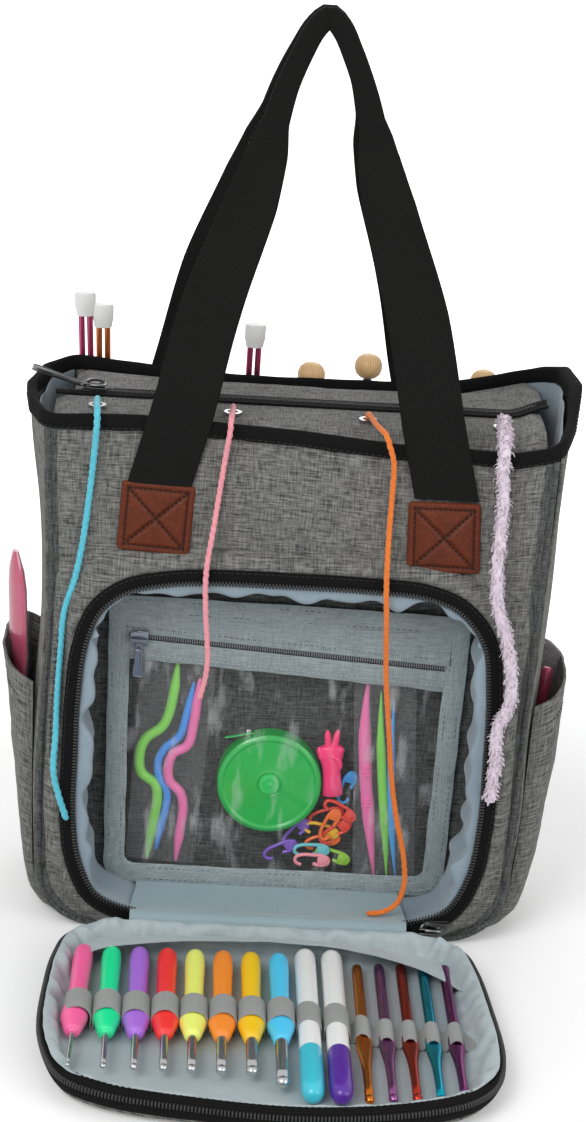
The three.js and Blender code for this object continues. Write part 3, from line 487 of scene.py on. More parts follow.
def change(piece, kind, **settings):
    """Adds a modifier with its settings and applies it."""
    pick(piece)
    bpy.ops.object.modifier_add(type=kind)
    added = piece.modifiers[-1]
    for label, value in settings.items():
        setattr(added, label, value)
    bpy.ops.object.modifier_apply(modifier=added.name)


def tidy_mesh(piece, merge=True, fill=False, outwards=True):
    pick(piece)
    bpy.ops.object.mode_set(mode="EDIT")
    bpy.ops.mesh.select_all(action="SELECT")
    if merge:
        bpy.ops.mesh.remove_doubles(threshold=2e-6)
    if fill:
        bpy.ops.mesh.select_all(action="DESELECT")
        bpy.ops.mesh.select_mode(type="EDGE")
        bpy.ops.mesh.select_non_manifold(extend=False)
        bpy.ops.mesh.edge_face_add()
        bpy.ops.mesh.select_mode(type="VERT")
    if outwards:
        bpy.ops.mesh.select_all(action="SELECT")
        bpy.ops.mesh.normals_make_consistent(inside=False)
    bpy.ops.object.mode_set(mode="OBJECT")


def shade(piece, angle=45):
    pick(piece)
    bpy.ops.object.shade_smooth_by_angle(angle=math.radians(angle))


def draped_sheet(name, rows, paint, wall=0.0, offset=-1, seam=False, flat=None, finer=0, angle=50, soft=None):
    """A sheet through rows of points, with a wall's thickness on one side; a seam joins its two long edges."""
    rows = np.asarray(rows, float)
    deselect()
    bpy.ops.mesh.primitive_grid_add(x_subdivisions=rows.shape[1] - 1, y_subdivisions=rows.shape[0] - 1,
                                    size=1)
    piece = bpy.context.object
    piece.name = piece.data.name = name
    set_layout(piece, rows, flat)
    placed = rows if soft is None else soft(rows)
    piece.data.vertices.foreach_set("co", (placed.reshape(-1, 3) * MM).ravel())
    if seam:
        tidy_mesh(piece, outwards=False)
    if wall:
        change(piece, "SOLIDIFY", thickness=wall * MM, offset=offset, use_even_offset=True)
        tidy_mesh(piece, merge=False)
    if finer:
        change(piece, "SUBSURF", levels=finer, render_levels=finer)
    shade(piece, angle)
    piece.data.materials.append(paint)
    return piece


def section_rows(path, section, up, loop=False):
    """Rows of points for a closed section carried along a path; sections may change along it."""
    path = np.asarray(path, float)
    ahead = np.roll(path, -1, 0) - np.roll(path, 1, 0) if loop else np.gradient(path, axis=0)
    along = unit(ahead)
    side = unit(np.cross(along, np.broadcast_to(np.asarray(up, float), path.shape)))
    rise = np.cross(side, along)
    section = np.broadcast_to(np.asarray(section, float), (len(path),) + np.shape(section)[-2:])
    section = np.concatenate([section, section[:, :1]], 1)
    rows = path[:, None] + side[:, None] * section[..., :1] + rise[:, None] * section[..., 1:]
    return np.concatenate([rows, rows[:1]]) if loop else rows


def carried(name, path, section, up, paint, loop=False, angle=50, soft=None, flat=None):
    """A solid band or cord: a closed section carried along a path, its ends closed."""
    rows = section_rows(path, section, up, loop)
    piece = draped_sheet(name, rows, paint, angle=angle, soft=soft, flat=flat)
    tidy_mesh(piece, fill=not loop)
    shade(piece, angle)
    return piece


def oval(half_width, half_height, sides=10, power=2.0):
    """A section: an oval, or a rounded box at a higher power."""
    turn = np.linspace(0, 2 * math.pi, sides, endpoint=False) + math.pi / sides
    cosine, sine = np.cos(turn), np.sin(turn)
    share = 2 / power
    return np.stack([half_width * np.sign(cosine) * np.abs(cosine) ** share,
                     half_height * np.sign(sine) * np.abs(sine) ** share], -1)


def drawn_out(name, rings, paint, sides=16, angle=40):
    """A solid drawn up from a disc ring by ring; a ring is half width, half depth, height and shift."""
    deselect()
    bpy.ops.mesh.primitive_circle_add(vertices=sides, radius=1, fill_type="NGON")
    piece = bpy.context.object
    piece.name = piece.data.name = name
    bpy.ops.object.mode_set(mode="EDIT")
    bpy.ops.mesh.select_all(action="SELECT")
    wide, deep, height, shift = rings[0]
    bpy.ops.transform.resize(value=(wide * MM, deep * MM, 1), center_override=(0, 0, 0))
    bpy.ops.transform.translate(value=(0, shift * MM, height * MM))
    for ring in rings[1:]:
        step = (0, (ring[3] - shift) * MM, (ring[2] - height) * MM)
        bpy.ops.mesh.extrude_region_move(TRANSFORM_OT_translate={"value": step})
        bpy.ops.transform.resize(value=(ring[0] / wide, ring[1] / deep, 1),
                                 center_override=(0, ring[3] * MM, ring[2] * MM))
        wide, deep, height, shift = ring
    bpy.ops.mesh.select_all(action="SELECT")
    bpy.ops.mesh.normals_make_consistent(inside=False)
    bpy.ops.object.mode_set(mode="OBJECT")
    shade(piece, angle)
    piece.data.materials.append(paint)
    return piece


def round_rings(profile):
    return [(radius, radius, height, 0) for radius, height in profile]


def set_down(piece, place, along=UP, facing=FRONT):
    """Puts a piece's own upright line along a direction, and its own -Y towards another."""
    tall = unit(along)
    side = unit(np.cross(-np.asarray(facing, float), tall))
    deep = np.cross(tall, side)
    turned = Matrix([[side[k], deep[k], tall[k]] for k in range(3)]).to_4x4()
    piece.data.transform(Matrix.Translation(Vector(place) * MM) @ turned)
    piece.data.update()
    return piece


def block(name, size, paint, rounding=0.0, steps=2, centre=(0, 0, 0)):
    """A block of a size in mm, its edges rounded."""
    deselect()
    bpy.ops.mesh.primitive_cube_add(size=1)
    piece = bpy.context.object
    piece.name = piece.data.name = name
    bpy.ops.object.mode_set(mode="EDIT")
    bpy.ops.mesh.select_all(action="SELECT")
    bpy.ops.transform.resize(value=tuple(s * MM for s in size), center_override=(0, 0, 0))
    if rounding:
        bpy.ops.mesh.bevel(offset=rounding * MM, segments=steps, affect="EDGES")
    bpy.ops.transform.translate(value=tuple(c * MM for c in centre))
    bpy.ops.object.mode_set(mode="OBJECT")
    shade(piece)
    piece.data.materials.append(paint)
    return piece


def join_up(name, pieces):
    deselect()
    for piece in pieces:
        piece.select_set(True)
    bpy.context.view_layer.objects.active = pieces[0]
    bpy.ops.object.join()
    pieces[0].name = pieces[0].data.name = name
    return pieces[0]


def copied(piece, name):
    again = bpy.data.objects.new(name, piece.data.copy())
    scene.collection.objects.link(again)
    return again


def strewn(name, seed, places, alongs, facings):
    """Copies of one small piece set along a line, as one piece; the small piece itself is used up."""
    copies = []
    for place, along, facing in zip(places, alongs, facings):
        copies.append(set_down(copied(seed, name), place, along, facing))
    bpy.data.objects.remove(seed)
    return join_up(name, copies)


def spaced_on(path, pitch, loop=False):
    """Points a pitch apart on a path, with the direction at each."""
    path = np.asarray(path, float)
    whole = np.vstack([path, path[:1]]) if loop else path
    length = np.linalg.norm(np.diff(whole, axis=0), axis=1).sum()
    count = max(int(length / pitch), 2)
    spots = evenly(whole, count, loop)
    ahead = np.roll(spots, -1, 0) - np.roll(spots, 1, 0) if loop else np.gradient(spots, axis=0)
    return spots, unit(ahead)


def stitch_row(name, path, paint, outwards, pitch=3.2, long=2.1, thick=0.32, loop=False, soft=None):
    """A row of stitches: small rounded bars laid on a line."""
    line = np.asarray(path, float) if soft is None else soft(np.asarray(path, float))
    spots, ahead = spaced_on(line, pitch, loop)
    seed = drawn_out("stitch", round_rings([(thick * 0.4, -long / 2), (thick, -long / 2 + 0.35),
                                            (thick, long / 2 - 0.35), (thick * 0.4, long / 2)]), paint, 5, 60)
    facings = np.broadcast_to(np.asarray(outwards, float), spots.shape)
    return strewn(name, seed, spots, ahead, facings)


def zip_teeth(name, path, outwards, pitch=1.75, size=(1.9, 1.05, 2.4), loop=False, paint=None, soft=None):
    """A row of zip teeth; each is a bar across the line with rounded edges."""
    line = np.asarray(path, float) if soft is None else soft(np.asarray(path, float))
    spots, ahead = spaced_on(line, pitch, loop)
    seed = block("tooth", (size[2], size[0], size[1]), paint or TEETH, 0.3, 1)
    facings = np.broadcast_to(np.asarray(outwards, float), spots.shape)
    return strewn(name, seed, spots, ahead, facings)


def own(piece, body, stands_for=()):
    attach(piece, body)
    if stands_for:
        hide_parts(*stands_for)
    return piece


# Cords: routes as in the part's source, in metres

TURQUOISE = [(-.098, -.026, .2621), (-.098, -.0265, .2642), (-.0979, -.0315, .2655), (-.0976, -.042, .2664),
             (-.0972, -.052, .2676), (-.0968, -.059, .268), (-.0966, -.0608, .262), (-.0974, -.0586, .246),
             (-.099, -.0576, .224), (-.101, -.0576, .203), (-.104, -.0576, .184), (-.1086, -.0576, .166),
             (-.1096, -.0576, .146), (-.1102, -.0586, .124), (-.1102, -.0614, .104), (-.1104, -.0663, .087),
             (-.1076, -.0665, .075), (-.103, -.0665, .0615)]
PINK = [(-.03265, -.026, .2621), (-.03265, -.0265, .2642), (-.0328, -.0315, .2653), (-.0331, -.042, .266),
        (-.0335, -.052, .2668), (-.0338, -.059, .2668), (-.034, -.0608, .2612), (-.0356, -.0588, .247),
        (-.0376, -.0592, .228), (-.0394, -.062, .212), (-.0412, -.0664, .199), (-.0416, -.0666, .187),
        (-.0406, -.0666, .171), (-.0386, -.0666, .148), (-.0396, -.0666, .137), (-.0416, -.0666, .128)]
ORANGE = [(.03265, -.026, .2621), (.0327, -.0265, .264), (.0332, -.0315, .265), (.0346, -.042, .2648),
          (.0368, -.052, .2645), (.0396, -.059, .2632), (.0416, -.0608, .2585), (.0442, -.0594, .250),
          (.0446, -.059, .236), (.0444, -.0606, .216), (.0443, -.0662, .199), (.0448, -.0664, .188),
          (.046, -.065, .174), (.0474, -.06, .156), (.049, -.056, .138), (.0524, -.053, .112),
          (.056, -.0526, .084), (.0598, -.0526, .064), (.0646, -.053, .045), (.066, -.054, .029),
          (.0626, -.0556, .0195), (.056, -.057, .0156), (.048, -.0576, .0146)]
LILAC = [(.098, -.026, .2621), (.098, -.0268, .2645), (.0976, -.033, .2658), (.097, -.046, .265),
         (.0962, -.057, .2632), (.0959, -.063, .2575), (.096, -.062, .249), (.0972, -.062, .237),
         (.0974, -.063, .219), (.0968, -.0674, .2), (.0988, -.0675, .184), (.104, -.0675, .168),
         (.108, -.0675, .15), (.1084, -.0675, .134), (.1038, -.0675, .121), (.1042, -.0675, .104),
         (.1032, -.0675, .083)]


def plied_yarn(name, route, dark, light, radius=1.75, plies=3, lay=11.0):
    """A cord of plies that wind round each other, and its frayed lower end."""
    path = smooth_line(np.asarray(route) / MM, 240)
    turn = np.concatenate([[0], np.cumsum(np.linalg.norm(np.diff(path, axis=0), axis=1))]) / lay * 2 * math.pi
    around = np.linspace(0, 2 * math.pi, 18, endpoint=False)
    lobes = 1 - 0.26 * np.abs(np.sin(plies / 2 * (around[None] - turn[:, None])))
    taper = np.ones(len(path))
    taper[-6:] = [1.02, 1.05, 1.06, 1.0, 0.9, 0.55]
    size = radius * lobes * taper[:, None]
    section = np.stack([size * np.cos(around), size * np.sin(around)], -1)
    cord = carried(name, path, section, (1, 0.02, 0.01),
                   yarn_paint(name + "_fibre", dark, light), angle=80)
    centre = path * MM
    return cord, centre


def tufted_yarn(name, route, dark, light):
    """A brushed yarn: a soft lumpy core with short curled tufts all along it."""
    draw = np.random.default_rng(5)
    path = smooth_line(np.asarray(route) / MM, 200)
    core = section_rows(path, oval(2.7, 2.7, 16), (1, 0.02, 0.01))
    swell = 1 + 0.3 * grain_noise(core, 2.6, 3)
    section = oval(2.7, 2.7, 16)[None] * swell[:, :16, None]
    paint = yarn_paint(name + "_fibre", dark, light, 0.5)
    cord = carried(name, path, section, (1, 0.02, 0.01), paint, angle=80)
    along = unit(np.gradient(path, axis=0))
    tufts = []
    lean = unit(np.cross(along, (1, 0.02, 0.01)))
    other = np.cross(lean, along)
    for k in range(1700):
        spot = draw.integers(1, len(path) - 1)
        angle = draw.uniform(0, 2 * math.pi)
        out = lean[spot] * math.cos(angle) + other[spot] * math.sin(angle)
        start = path[spot] + out * 2.0
        droop = along[spot] * draw.uniform(0.4, 2.2) + out * draw.uniform(0.7, 2.0) + draw.normal(0, 0.5, 3)
        bend = start + droop * 0.6 + out * 0.4
        tip = start + droop + np.array([0, 0, -draw.uniform(0, 0.8)])
        wide = unit(np.cross(out, along[spot])) * draw.uniform(0.45, 0.85)
        tufts.append([start - wide, start + wide, bend - wide * 0.9, bend + wide * 0.9, tip - wide * 0.3,
                      tip + wide * 0.3])
    points = np.array(tufts).reshape(-1, 3) * MM
    points[:, 1] = np.minimum(points[:, 1], np.where(points[:, 2] < 0.258, -0.0557, points[:, 1]))
    mesh = bpy.data.meshes.new(name + "_tufts")
    faces = []
    for k in range(len(tufts)):
        a = 6 * k
        faces += [(a, a + 1, a + 3, a + 2), (a + 2, a + 3, a + 5, a + 4)]
    mesh.from_pydata([tuple(p) for p in points], [], faces)
    mesh.uv_layers.new(name="UVMap")
    fluff = bpy.data.objects.new(name + "_tufts", mesh)
    scene.collection.objects.link(fluff)
    change(fluff, "SOLIDIFY", thickness=0.00018, offset=0)
    shade(fluff, 80)
    fluff.data.materials.append(paint)
    return cord, path * MM, fluff


turquoise, turquoise_line = plied_yarn("turquoise_yarn", TURQUOISE, rgb(40, 165, 190), rgb(110, 215, 232))
pink, pink_line = plied_yarn("pink_yarn", PINK, rgb(222, 120, 136), rgb(250, 178, 184), 1.5)
orange, orange_line = plied_yarn("orange_yarn", ORANGE, rgb(216, 88, 8), rgb(252, 142, 40), 1.55)
lilac, lilac_line, lilac_tufts = tufted_yarn("lilac_yarn", LILAC, rgb(210, 190, 210), rgb(246, 234, 244))
for cord, centre, slot, node in ((turquoise, turquoise_line, "yarn_turquoise", "yarn_turquoise"),
                                 (pink, pink_line, "yarn_pink", "yarn_pink"),
                                 (orange, orange_line, "yarn_orange", "yarn_orange"),
                                 (lilac, lilac_line, "yarn_lilac", "yarn_lilac")):
    own(cord, "bag", (node,))
own(lilac_tufts, "bag")


# The bag's soft shape

BASE_HALF, TOP_HALF, HALF_DEPTH, TALL = 118.0, 124.0, 54.0, 266.0
CORNER = 30.0
FRONT_RISE = ([-124, -76, -30, 0, 47, 80, 103, 124], [-1, 0.5, -1.5, -3, -7, -7.5, -8.5, -4])
REAR_RISE = ([-124, -68, -29, 2, 44, 83, 102, 124], [2, -3, -5, -5, -4.5, -2, 2.5, 7.5])
RIGHT_FLARE = ([-54, -30, 0, 30, 54], [0, 6, 10, 8, -5])
LEFT_FLARE = ([-54, -30, 0, 30, 54], [-2, 4, 6.5, 2, -9])
RIGHT_LIFT = ([-54, -20, 0, 30, 54], [0, 6, 10, 8, 0])


def half_width(height):
    return BASE_HALF + (TOP_HALF - BASE_HALF) * height / TALL


def soften(rows):
    """Lets the cloth sag, flare and bulge from the straight lines that it was sewn on."""
    rows = np.array(rows, float)
    x, y, z = rows[..., 0], rows[..., 1], rows[..., 2]
    high = ease(z, 150, TALL)
    rear = np.clip((y + HALF_DEPTH) / (2 * HALF_DEPTH), 0, 1)
    edge = np.clip(np.abs(x) / 120, 0, 1.05) ** 6
    right = x > 0
    middle = 1 - np.clip(y / HALF_DEPTH, -1, 1) ** 2
    low = np.where(right, 8.0, 4.0) * middle * ease(z, 4, 70)
    flare = np.where(right, np.interp(y, *RIGHT_FLARE), np.interp(y, *LEFT_FLARE))
    out = (low * (1 - high) + flare * high) * edge
    sag = np.where(right, 0, 4.5 * np.exp(-((z - 172) / 55) ** 2)) * edge
    rows[..., 0] = x + np.where(right, out, -out) + sag
    rise = (1 - rear) * np.interp(x, *FRONT_RISE) + rear * np.interp(x, *REAR_RISE)
    lift = np.where(right, np.interp(y, *RIGHT_LIFT), 0) * edge
    rows[..., 2] = z + (rise + lift) * high
    return rows


def body_outline(inset, top, count=90):
    """The bag's outline seen from the front, left top round the floor to right top, as x and z."""
    turn = np.radians(np.linspace(180, 270, 14))
    radius, middle = CORNER - inset, BASE_HALF - CORNER
    left = np.stack([-middle + radius * np.cos(turn), CORNER + radius * np.sin(turn)], -1)
    right = (left * [-1, 1])[::-1]
    ends = [[-(half_width(top) - inset), top]], [[half_width(top) - inset, top]]
    return evenly(np.vstack([ends[0], left, right, ends[1]]), count)


def upright(outline, depth):
    """An outline of x and z stood up at a depth."""
    outline = np.asarray(outline, float)
    depth = np.broadcast_to(np.asarray(depth, float), outline.shape[:-1])
    return np.stack([outline[..., 0], depth, outline[..., 1]], -1)


MOUTH = smooth_line([(-69, 6), (-92, 15.5), (-103, 36), (-107, 60), (-107.3, 95), (-107, 125), (-104, 154),
                     (-96.5, 173), (-82.6, 185), (-61, 191), (-40, 193), (-1.5, 193.4), (37, 193), (66, 191),
                     (86, 183), (101, 164), (105.6, 137), (107, 100), (107, 66), (103, 36), (92, 15.5),
                     (69, 6),
                     (35, 6), (0, 6), (-35, 6)], 220, True)
# Outwards from the mouth at each of its points
_ahead = unit(np.roll(MOUTH, -1, 0) - np.roll(MOUTH, 1, 0))
MOUTH_OUT = np.stack([-_ahead[:, 1], _ahead[:, 0]], -1)
MOUTH_OUT *= np.sign((MOUTH_OUT * (MOUTH - [0, 100])).sum(1).mean())


def ring_rows(offsets, depths, closed=True):
    """Rows round the mouth, each moved outwards by an offset and set at a depth."""
    rows = []
    for offset, depth in zip(offsets, depths):
        offset = np.broadcast_to(np.asarray(offset, float), len(MOUTH))
        rows.append(upright(MOUTH + MOUTH_OUT * offset[:, None], depth))
    rows = np.array(rows)
    return np.concatenate([rows, rows[:, :1]], 1) if closed else rows


def radial(outline, centre, angles):
    """How far an outline is from a centre at each angle."""
    outline = np.asarray(outline, float) - centre
    turn = np.arctan2(outline[:, 1], outline[:, 0])
    order = np.argsort(turn)
    return np.interp(angles, turn[order], np.hypot(outline[order, 0], outline[order, 1]), period=2 * math.pi)


def roughen(rows, size, depth, seed, axis=1):
    rows = np.array(rows, float)
    rows[..., axis] += depth * grain_noise(rows, size, seed)
    return rows


WALL_TOP = 257.5


def build_front():
    """The front cloth, from the mouth out to the seam, in one piece."""
    centre = np.array([0, 118.0])
    angles = np.linspace(-math.pi, math.pi, 241)
    outer = body_outline(3.2, WALL_TOP, 400)
    top_edge = np.stack([np.linspace(outer[-1, 0], outer[0, 0], 200), np.full(200, WALL_TOP)], -1)
    far = radial(np.vstack([outer, top_edge]), centre, angles)
    near = radial(MOUTH, centre, angles) - 1.5
    rows = []
    for share in np.linspace(0, 1, 19):
        reach = near + (far - near) * share
        bulge = -54.4 - 1.6 * math.sin(math.pi * share)
        flat = np.stack([centre[0] + reach * np.cos(angles), centre[1] + reach * np.sin(angles)], -1)
        rows.append(upright(flat, bulge))
    rows = np.array(rows)
    slack = ease(rows[..., 2], 195, 215) * (1 - ease(rows[..., 2], 240, 257))
    rows[..., 1] += 0.8 * grain_noise(rows, 38, 4) + slack * 1.1 * grain_noise(rows * [1, 1, 0.45], 17, 8)
    rows[0, :, 1] = -54.5
    rows[-1, :, 1] = -54.2
    front = draped_sheet("front_cloth", rows, HEATHER, 1.4, 1, seam=True, flat=(0, 2), soft=soften)
    own(front, "bag", ("front_panel",))
    return front


def build_back():
    across = np.linspace(-1, 1, 61)
    rows = []
    for z in np.concatenate([np.linspace(1.5, 30, 9), np.linspace(38, WALL_TOP, 34)]):
        dip = max(CORNER - z, 0)
        wide = half_width(z) - 2 - (CORNER - math.sqrt(max(CORNER**2 - dip**2, 0)))
        rows.append(np.stack([across * wide, 54.2 + 2.2 * (1 - across**4) * np.sin(math.pi * z / TALL)
                              * np.ones(61), np.full(61, z)], -1))
    rows = roughen(rows, 42, 0.9, 12)
    back = draped_sheet("back_cloth", rows, HEATHER, 1.4, 1, flat=(0, 2), soft=soften)
    own(back, "bag", ("back_panel",))


def build_gusset():
    """The sides and floor: one long strip, with a folded crease down each side."""
    outline = body_outline(0.6, WALL_TOP, 150)
    depths = np.linspace(-53.2, 53.2, 29)
    rows = np.array([upright(outline, depth) for depth in depths])
    side = ease(np.abs(rows[..., 0]), 80, 116) * ease(rows[..., 2], 20, 90)
    fold = side * (1.5 * grain_noise(rows * [0.4, 1, 0.35], 20, 21)
                   - 1.6 * np.exp(-((rows[..., 1] - 4) / 9) ** 2) * ease(rows[..., 2], 130, 190))
    rows[..., 0] += np.sign(rows[..., 0]) * fold
    low = 1 - ease(rows[..., 2], 2, 12)
    rows[..., 2] += low * 0.9
    gusset = draped_sheet("gusset_cloth", rows, HEATHER, 1.4, -1, soft=soften)
    own(gusset, "bag", ("gusset",))
    for label, keep in (("left", slice(0, 34)), ("right", slice(-34, None))):
        inner = rows[:, keep].copy()
        inner[..., 0] -= np.sign(inner[..., 0]) * 2.4
        inner[..., 1] *= 0.965
        inner = inner if label == "left" else inner[:, ::-1]
        piece = draped_sheet("gusset_lining_" + label, inner, LINING, 0.5, 0, soft=soften)
        own(piece, "bag")


def build_piping(name, depth, node):
    # The piping and a thin strip laid beside it, both in the darkened heather: a painted shadow line along the seam.
    path = upright(body_outline(1.6, WALL_TOP, 170), depth)
    piece = carried(name, path, oval(1.6, 1.6, 10), FRONT, SHADED_HEATHER, soft=soften)
    own(piece, "bag", (node,))
    shadow_lip = np.array([upright(body_outline(inset, WALL_TOP, 170), depth + side * lift)
                    for inset, lift, side in ((3.0, 0.25, np.sign(depth)), (6.3, 0.35, np.sign(depth)))])
    shadow_lip = draped_sheet(name + "_shadow_lip", shadow_lip, SHADED_HEATHER, 0.5, 0, soft=soften)
    own(shadow_lip, "bag")


def rim_line(count=220):
    """The middle of the rim's binding, round from the front left corner."""
    corner = 7
    turn = np.radians(np.linspace(180, 270, 7))
    arc = np.stack([corner * np.cos(turn), corner * np.sin(turn)], -1)
    x, y = TOP_HALF - 0.4 - corner, HALF_DEPTH - corner
    loop = np.vstack([arc + [-x, -y], (arc * [-1, 1])[::-1] + [x, -y], -arc + [x, y],
                      (arc * [1, -1])[::-1] + [-x, y]])
    loop = evenly(np.vstack([loop, loop[:1]]), count, True)
    return np.stack([loop[:, 0], loop[:, 1], np.full(count, 261.0)], -1)


def build_rim():
    line = rim_line()
    wave = 0.45 * grain_noise(line, 26, 2)
    line[:, 2] += wave
    section = np.array([(-1.9, -3.4), (-1.6, -3.7), (-0.9, -3.7), (-0.7, 0), (-0.7, 1.8), (0, 2.4),
                        (0.7, 1.8), (0.7, 0),
                        (0.9, -3.7), (1.6, -3.7), (1.9, -3.4), (2.0, 0), (1.9, 2.3), (1.2, 3.5), (0, 3.9),
                        (-1.2, 3.5),
                        (-1.9, 2.3), (-2.0, 0)])
    section = section[::-1]
    plump = 1 + 0.08 * grain_noise(line, 14, 31)
    rim = carried("rim_tape", line, section[None] * plump[:, None, None], UP, BLACK_TAPE, True, soft=soften)
    own(rim, "bag", ("rim_binding",))
    corner = np.minimum(1, np.abs(line[:, :2] / [TOP_HALF, HALF_DEPTH]) ** 8)
    out = unit(np.stack([np.sign(line[:, 0]) * corner[:, 0], np.sign(line[:, 1]) * corner[:, 1],
                         np.zeros(len(line))], -1))
    stitches = stitch_row("rim_stitches", line + out * 2.0 - [0, 0, 2.7], DARK_THREAD, FRONT, 3.0, 2.0, 0.25,
                          True,
                          soft=soften)
    own(stitches, "bag")


build_front()
build_back()
build_gusset()
build_piping("front_welt", -54.6, "front_piping")
build_piping("rear_welt", 54.6, "rear_piping")
build_rim()


# Front pocket: the swelling round its mouth, the zip, the gathered lining, and its back

def open_ring():
    """The mouth's points from the lower right corner over the top to the lower left one, and the way out."""
    low = (np.abs(MOUTH[:, 0]) < 67) & (MOUTH[:, 1] < 20)
    keep = np.where(~low)[0]
    start = int(np.where(np.diff(keep) > 1)[0][0]) + 1 if (np.diff(keep) > 1).any() else 0
    order = np.concatenate([keep[start:], keep[:start]])
    return order


def build_swelling():
    """The padded edge of the pocket, puffed out and sewn down to the front cloth."""
    corner = np.exp(-(((MOUTH[:, 0] + 92) / 26) ** 2 + ((MOUTH[:, 1] - 182) / 26) ** 2))
    other = np.exp(-(((MOUTH[:, 0] - 96) / 26) ** 2 + ((MOUTH[:, 1] - 176) / 30) ** 2))
    wide = 1 + 0.8 * corner + 0.35 * other
    rows = ring_rows([-0.6, 0.8, 2.6 * wide, 4.4 * wide, 6.0 * wide, 7.4 * wide],
                     [-60.4, -61.2, -61.0, -59.4, -57.0, -55.2])
    rows = roughen(rows, 15, 0.5, 7)
    under_yarn = ease(rows[..., 2], 84, 104) * (1 - ease(rows[..., 2], 176, 196)) * (rows[..., 0] < -100)
    rows[..., 1] += under_yarn * np.maximum(0, -55.6 - rows[..., 1]) * ease(-rows[..., 0], 104, 107.5)
    rows[..., 2] = np.maximum(rows[..., 2], 1.3)
    swell = draped_sheet("pocket_swelling", rows, HEATHER, 1.2, 0, seam=True, flat=(0, 2))
    own(swell, "bag", ("pocket_surround",))
    order = open_ring()
    line = upright(MOUTH[order] + MOUTH_OUT[order] * (5.6 * wide[order])[:, None], -57.9)
    own(stitch_row("pocket_stitches", line, DARK_THREAD, FRONT, 3.4, 2.2, 0.25), "bag")


def build_mouth_zip():
    order = open_ring()
    path = upright(MOUTH[order] - MOUTH_OUT[order] * 3.6, -62.2)
    section = np.array([(-3.3, -0.5), (-2.9, -0.9), (2.9, -0.9), (3.3, -0.4), (3.3, 0.5), (2.2, 0.9),
                        (-2.3, 0.8),
                        (-3.3, 0.5)])
    tape = carried("mouth_zip_tape", path, section, FRONT, BLACK_TAPE, soft=lambda r: roughen(r, 12, 0.25, 3))
    own(tape, "bag", ("opening_zip_tape",))
    inner = upright(MOUTH[order] - MOUTH_OUT[order] * 7.0, -62.6)
    teeth = zip_teeth("mouth_zip_teeth", inner, FRONT, 1.6, (2.0, 1.0, 2.6))
    own(teeth, "bag")
    seam = upright(MOUTH[order] - MOUTH_OUT[order] * 1.4, -63.2)
    seam = seam[~((seam[:, 0] > 60) & (seam[:, 2] < 17))]
    own(stitch_row("mouth_zip_stitches", seam, DARK_THREAD, FRONT, 2.8, 1.9, 0.22), "bag")


def build_pocket_lining():
    """The gathered wall of the pocket: a light hem first, then a tuck, then the wall to the back."""
    low = ease(MOUTH[:, 1], 8, 30)
    share = 0.42 + 0.58 * low
    corner = np.exp(-((np.hypot(np.abs(MOUTH[:, 0]) - 90, MOUTH[:, 1] - 176)) / 24) ** 2)
    hang = 1 + 0.55 * grain_noise(upright(MOUTH, 0), 15, 55) - 0.3 * corner
    offsets = [3.6, 7.2, 10.6, 13.0, 13.6, 10.8, 9.4, 11.6, 12.0, 11.0, 9.6, 8.4]
    depths = [-60.8, -61.3, -61.2, -60.7, -58.6, -52, -45, -38, -31, -24, -18, -13]
    rows = ring_rows([-value * share * (hang if value > 8 else 1) for value in offsets], depths)
    pucker = 1.4 * grain_noise(rows * [1, 0.25, 1], 8, 5) + 0.7 * grain_noise(rows * [1, 0.5, 1], 4, 9)
    deep = (0.3 + 0.7 * ease(rows[..., 1], -60.9, -50)) * np.append(low, low[0])
    for axis in (0, 2):
        way = MOUTH_OUT[:, 0 if axis == 0 else 1]
        rows[..., axis] -= np.append(way, way[0]) * pucker * (0.5 + 1.3 * deep) * np.append(low, low[0])
    rows[..., 1] += 0.9 * pucker * deep
    wall = draped_sheet("pocket_wall_lining", rows, LINING, 0.5, 0, seam=True, finer=1)
    own(wall, "bag", ("pocket_lining",))


def disc_rows(offset, depth, steps=14, inner=None):
    """Rows from an inner outline, or from the middle, out to the mouth's outline moved inwards."""
    edge = MOUTH - MOUTH_OUT * offset
    middle = np.array([0.0, 98.0])
    rows = []
    for share in np.linspace(0.002 if inner is None else 0, 1, steps):
        start = middle if inner is None else inner
        rows.append(upright(start + (edge - start) * share, depth))
    rows = np.array(rows)
    return np.concatenate([rows, rows[:, :1]], 1)


def window_outline(inset, count=220):
    """The window's frame, a little out of square, as x and z."""
    corners = np.array([(-84.5, 12.5), (87.5, 12), (91.0, 163.0), (-87.5, 166.0)])
    radii = (12, 12, 4, 4)
    points = []
    for k, radius in enumerate(radii):
        here, before, after = corners[k], corners[k - 1], corners[(k + 1) % 4]
        a, b = unit(before - here), unit(after - here)
        here = here + (a + b) * inset
        radius = max(radius - inset * 0.6, 1.5)
        for share in np.linspace(0, 1, 6):
            points.append((1 - share) ** 2 * (here + a * radius) + 2 * share * (1 - share) * here
                          + share**2 * (here + b * radius))
    return evenly(np.vstack([points, points[:1]]), count, True)


def build_pocket_back():
    # The divider and the pocket's back are painted in the darkened heather: painted shade inside the pocket.
    rows = roughen(disc_rows(4.4, -11.4, 16), 30, 0.5, 14)
    divider = draped_sheet("divider_cloth", rows, SHADED_HEATHER, 0.9, 0, seam=True, flat=(0, 2))
    tidy_mesh(divider, fill=True)
    shade(divider)
    own(divider, "bag", ("divider_panel",))
    centre = np.array([0.0, 98.0])
    angles = np.linspace(-math.pi, math.pi, 241)
    near = radial(window_outline(4, 600), centre, angles)
    far = radial(MOUTH - MOUTH_OUT * 5.2, centre, angles)
    rows = np.array([upright(np.stack([centre[0] + reach * np.cos(angles),
                                       centre[1] + reach * np.sin(angles)], -1),
                             -24.0) for reach in (near + (far - near) * s for s in np.linspace(0, 1, 6))])
    rows = roughen(rows, 16, 0.7, 19)
    rows[..., 1] = np.maximum(rows[..., 1], -25.2)
    back = draped_sheet("pocket_back_cloth", rows, SHADED_HEATHER, 0.6, 0, seam=True, flat=(0, 2))
    own(back, "bag", ("pocket_back",))


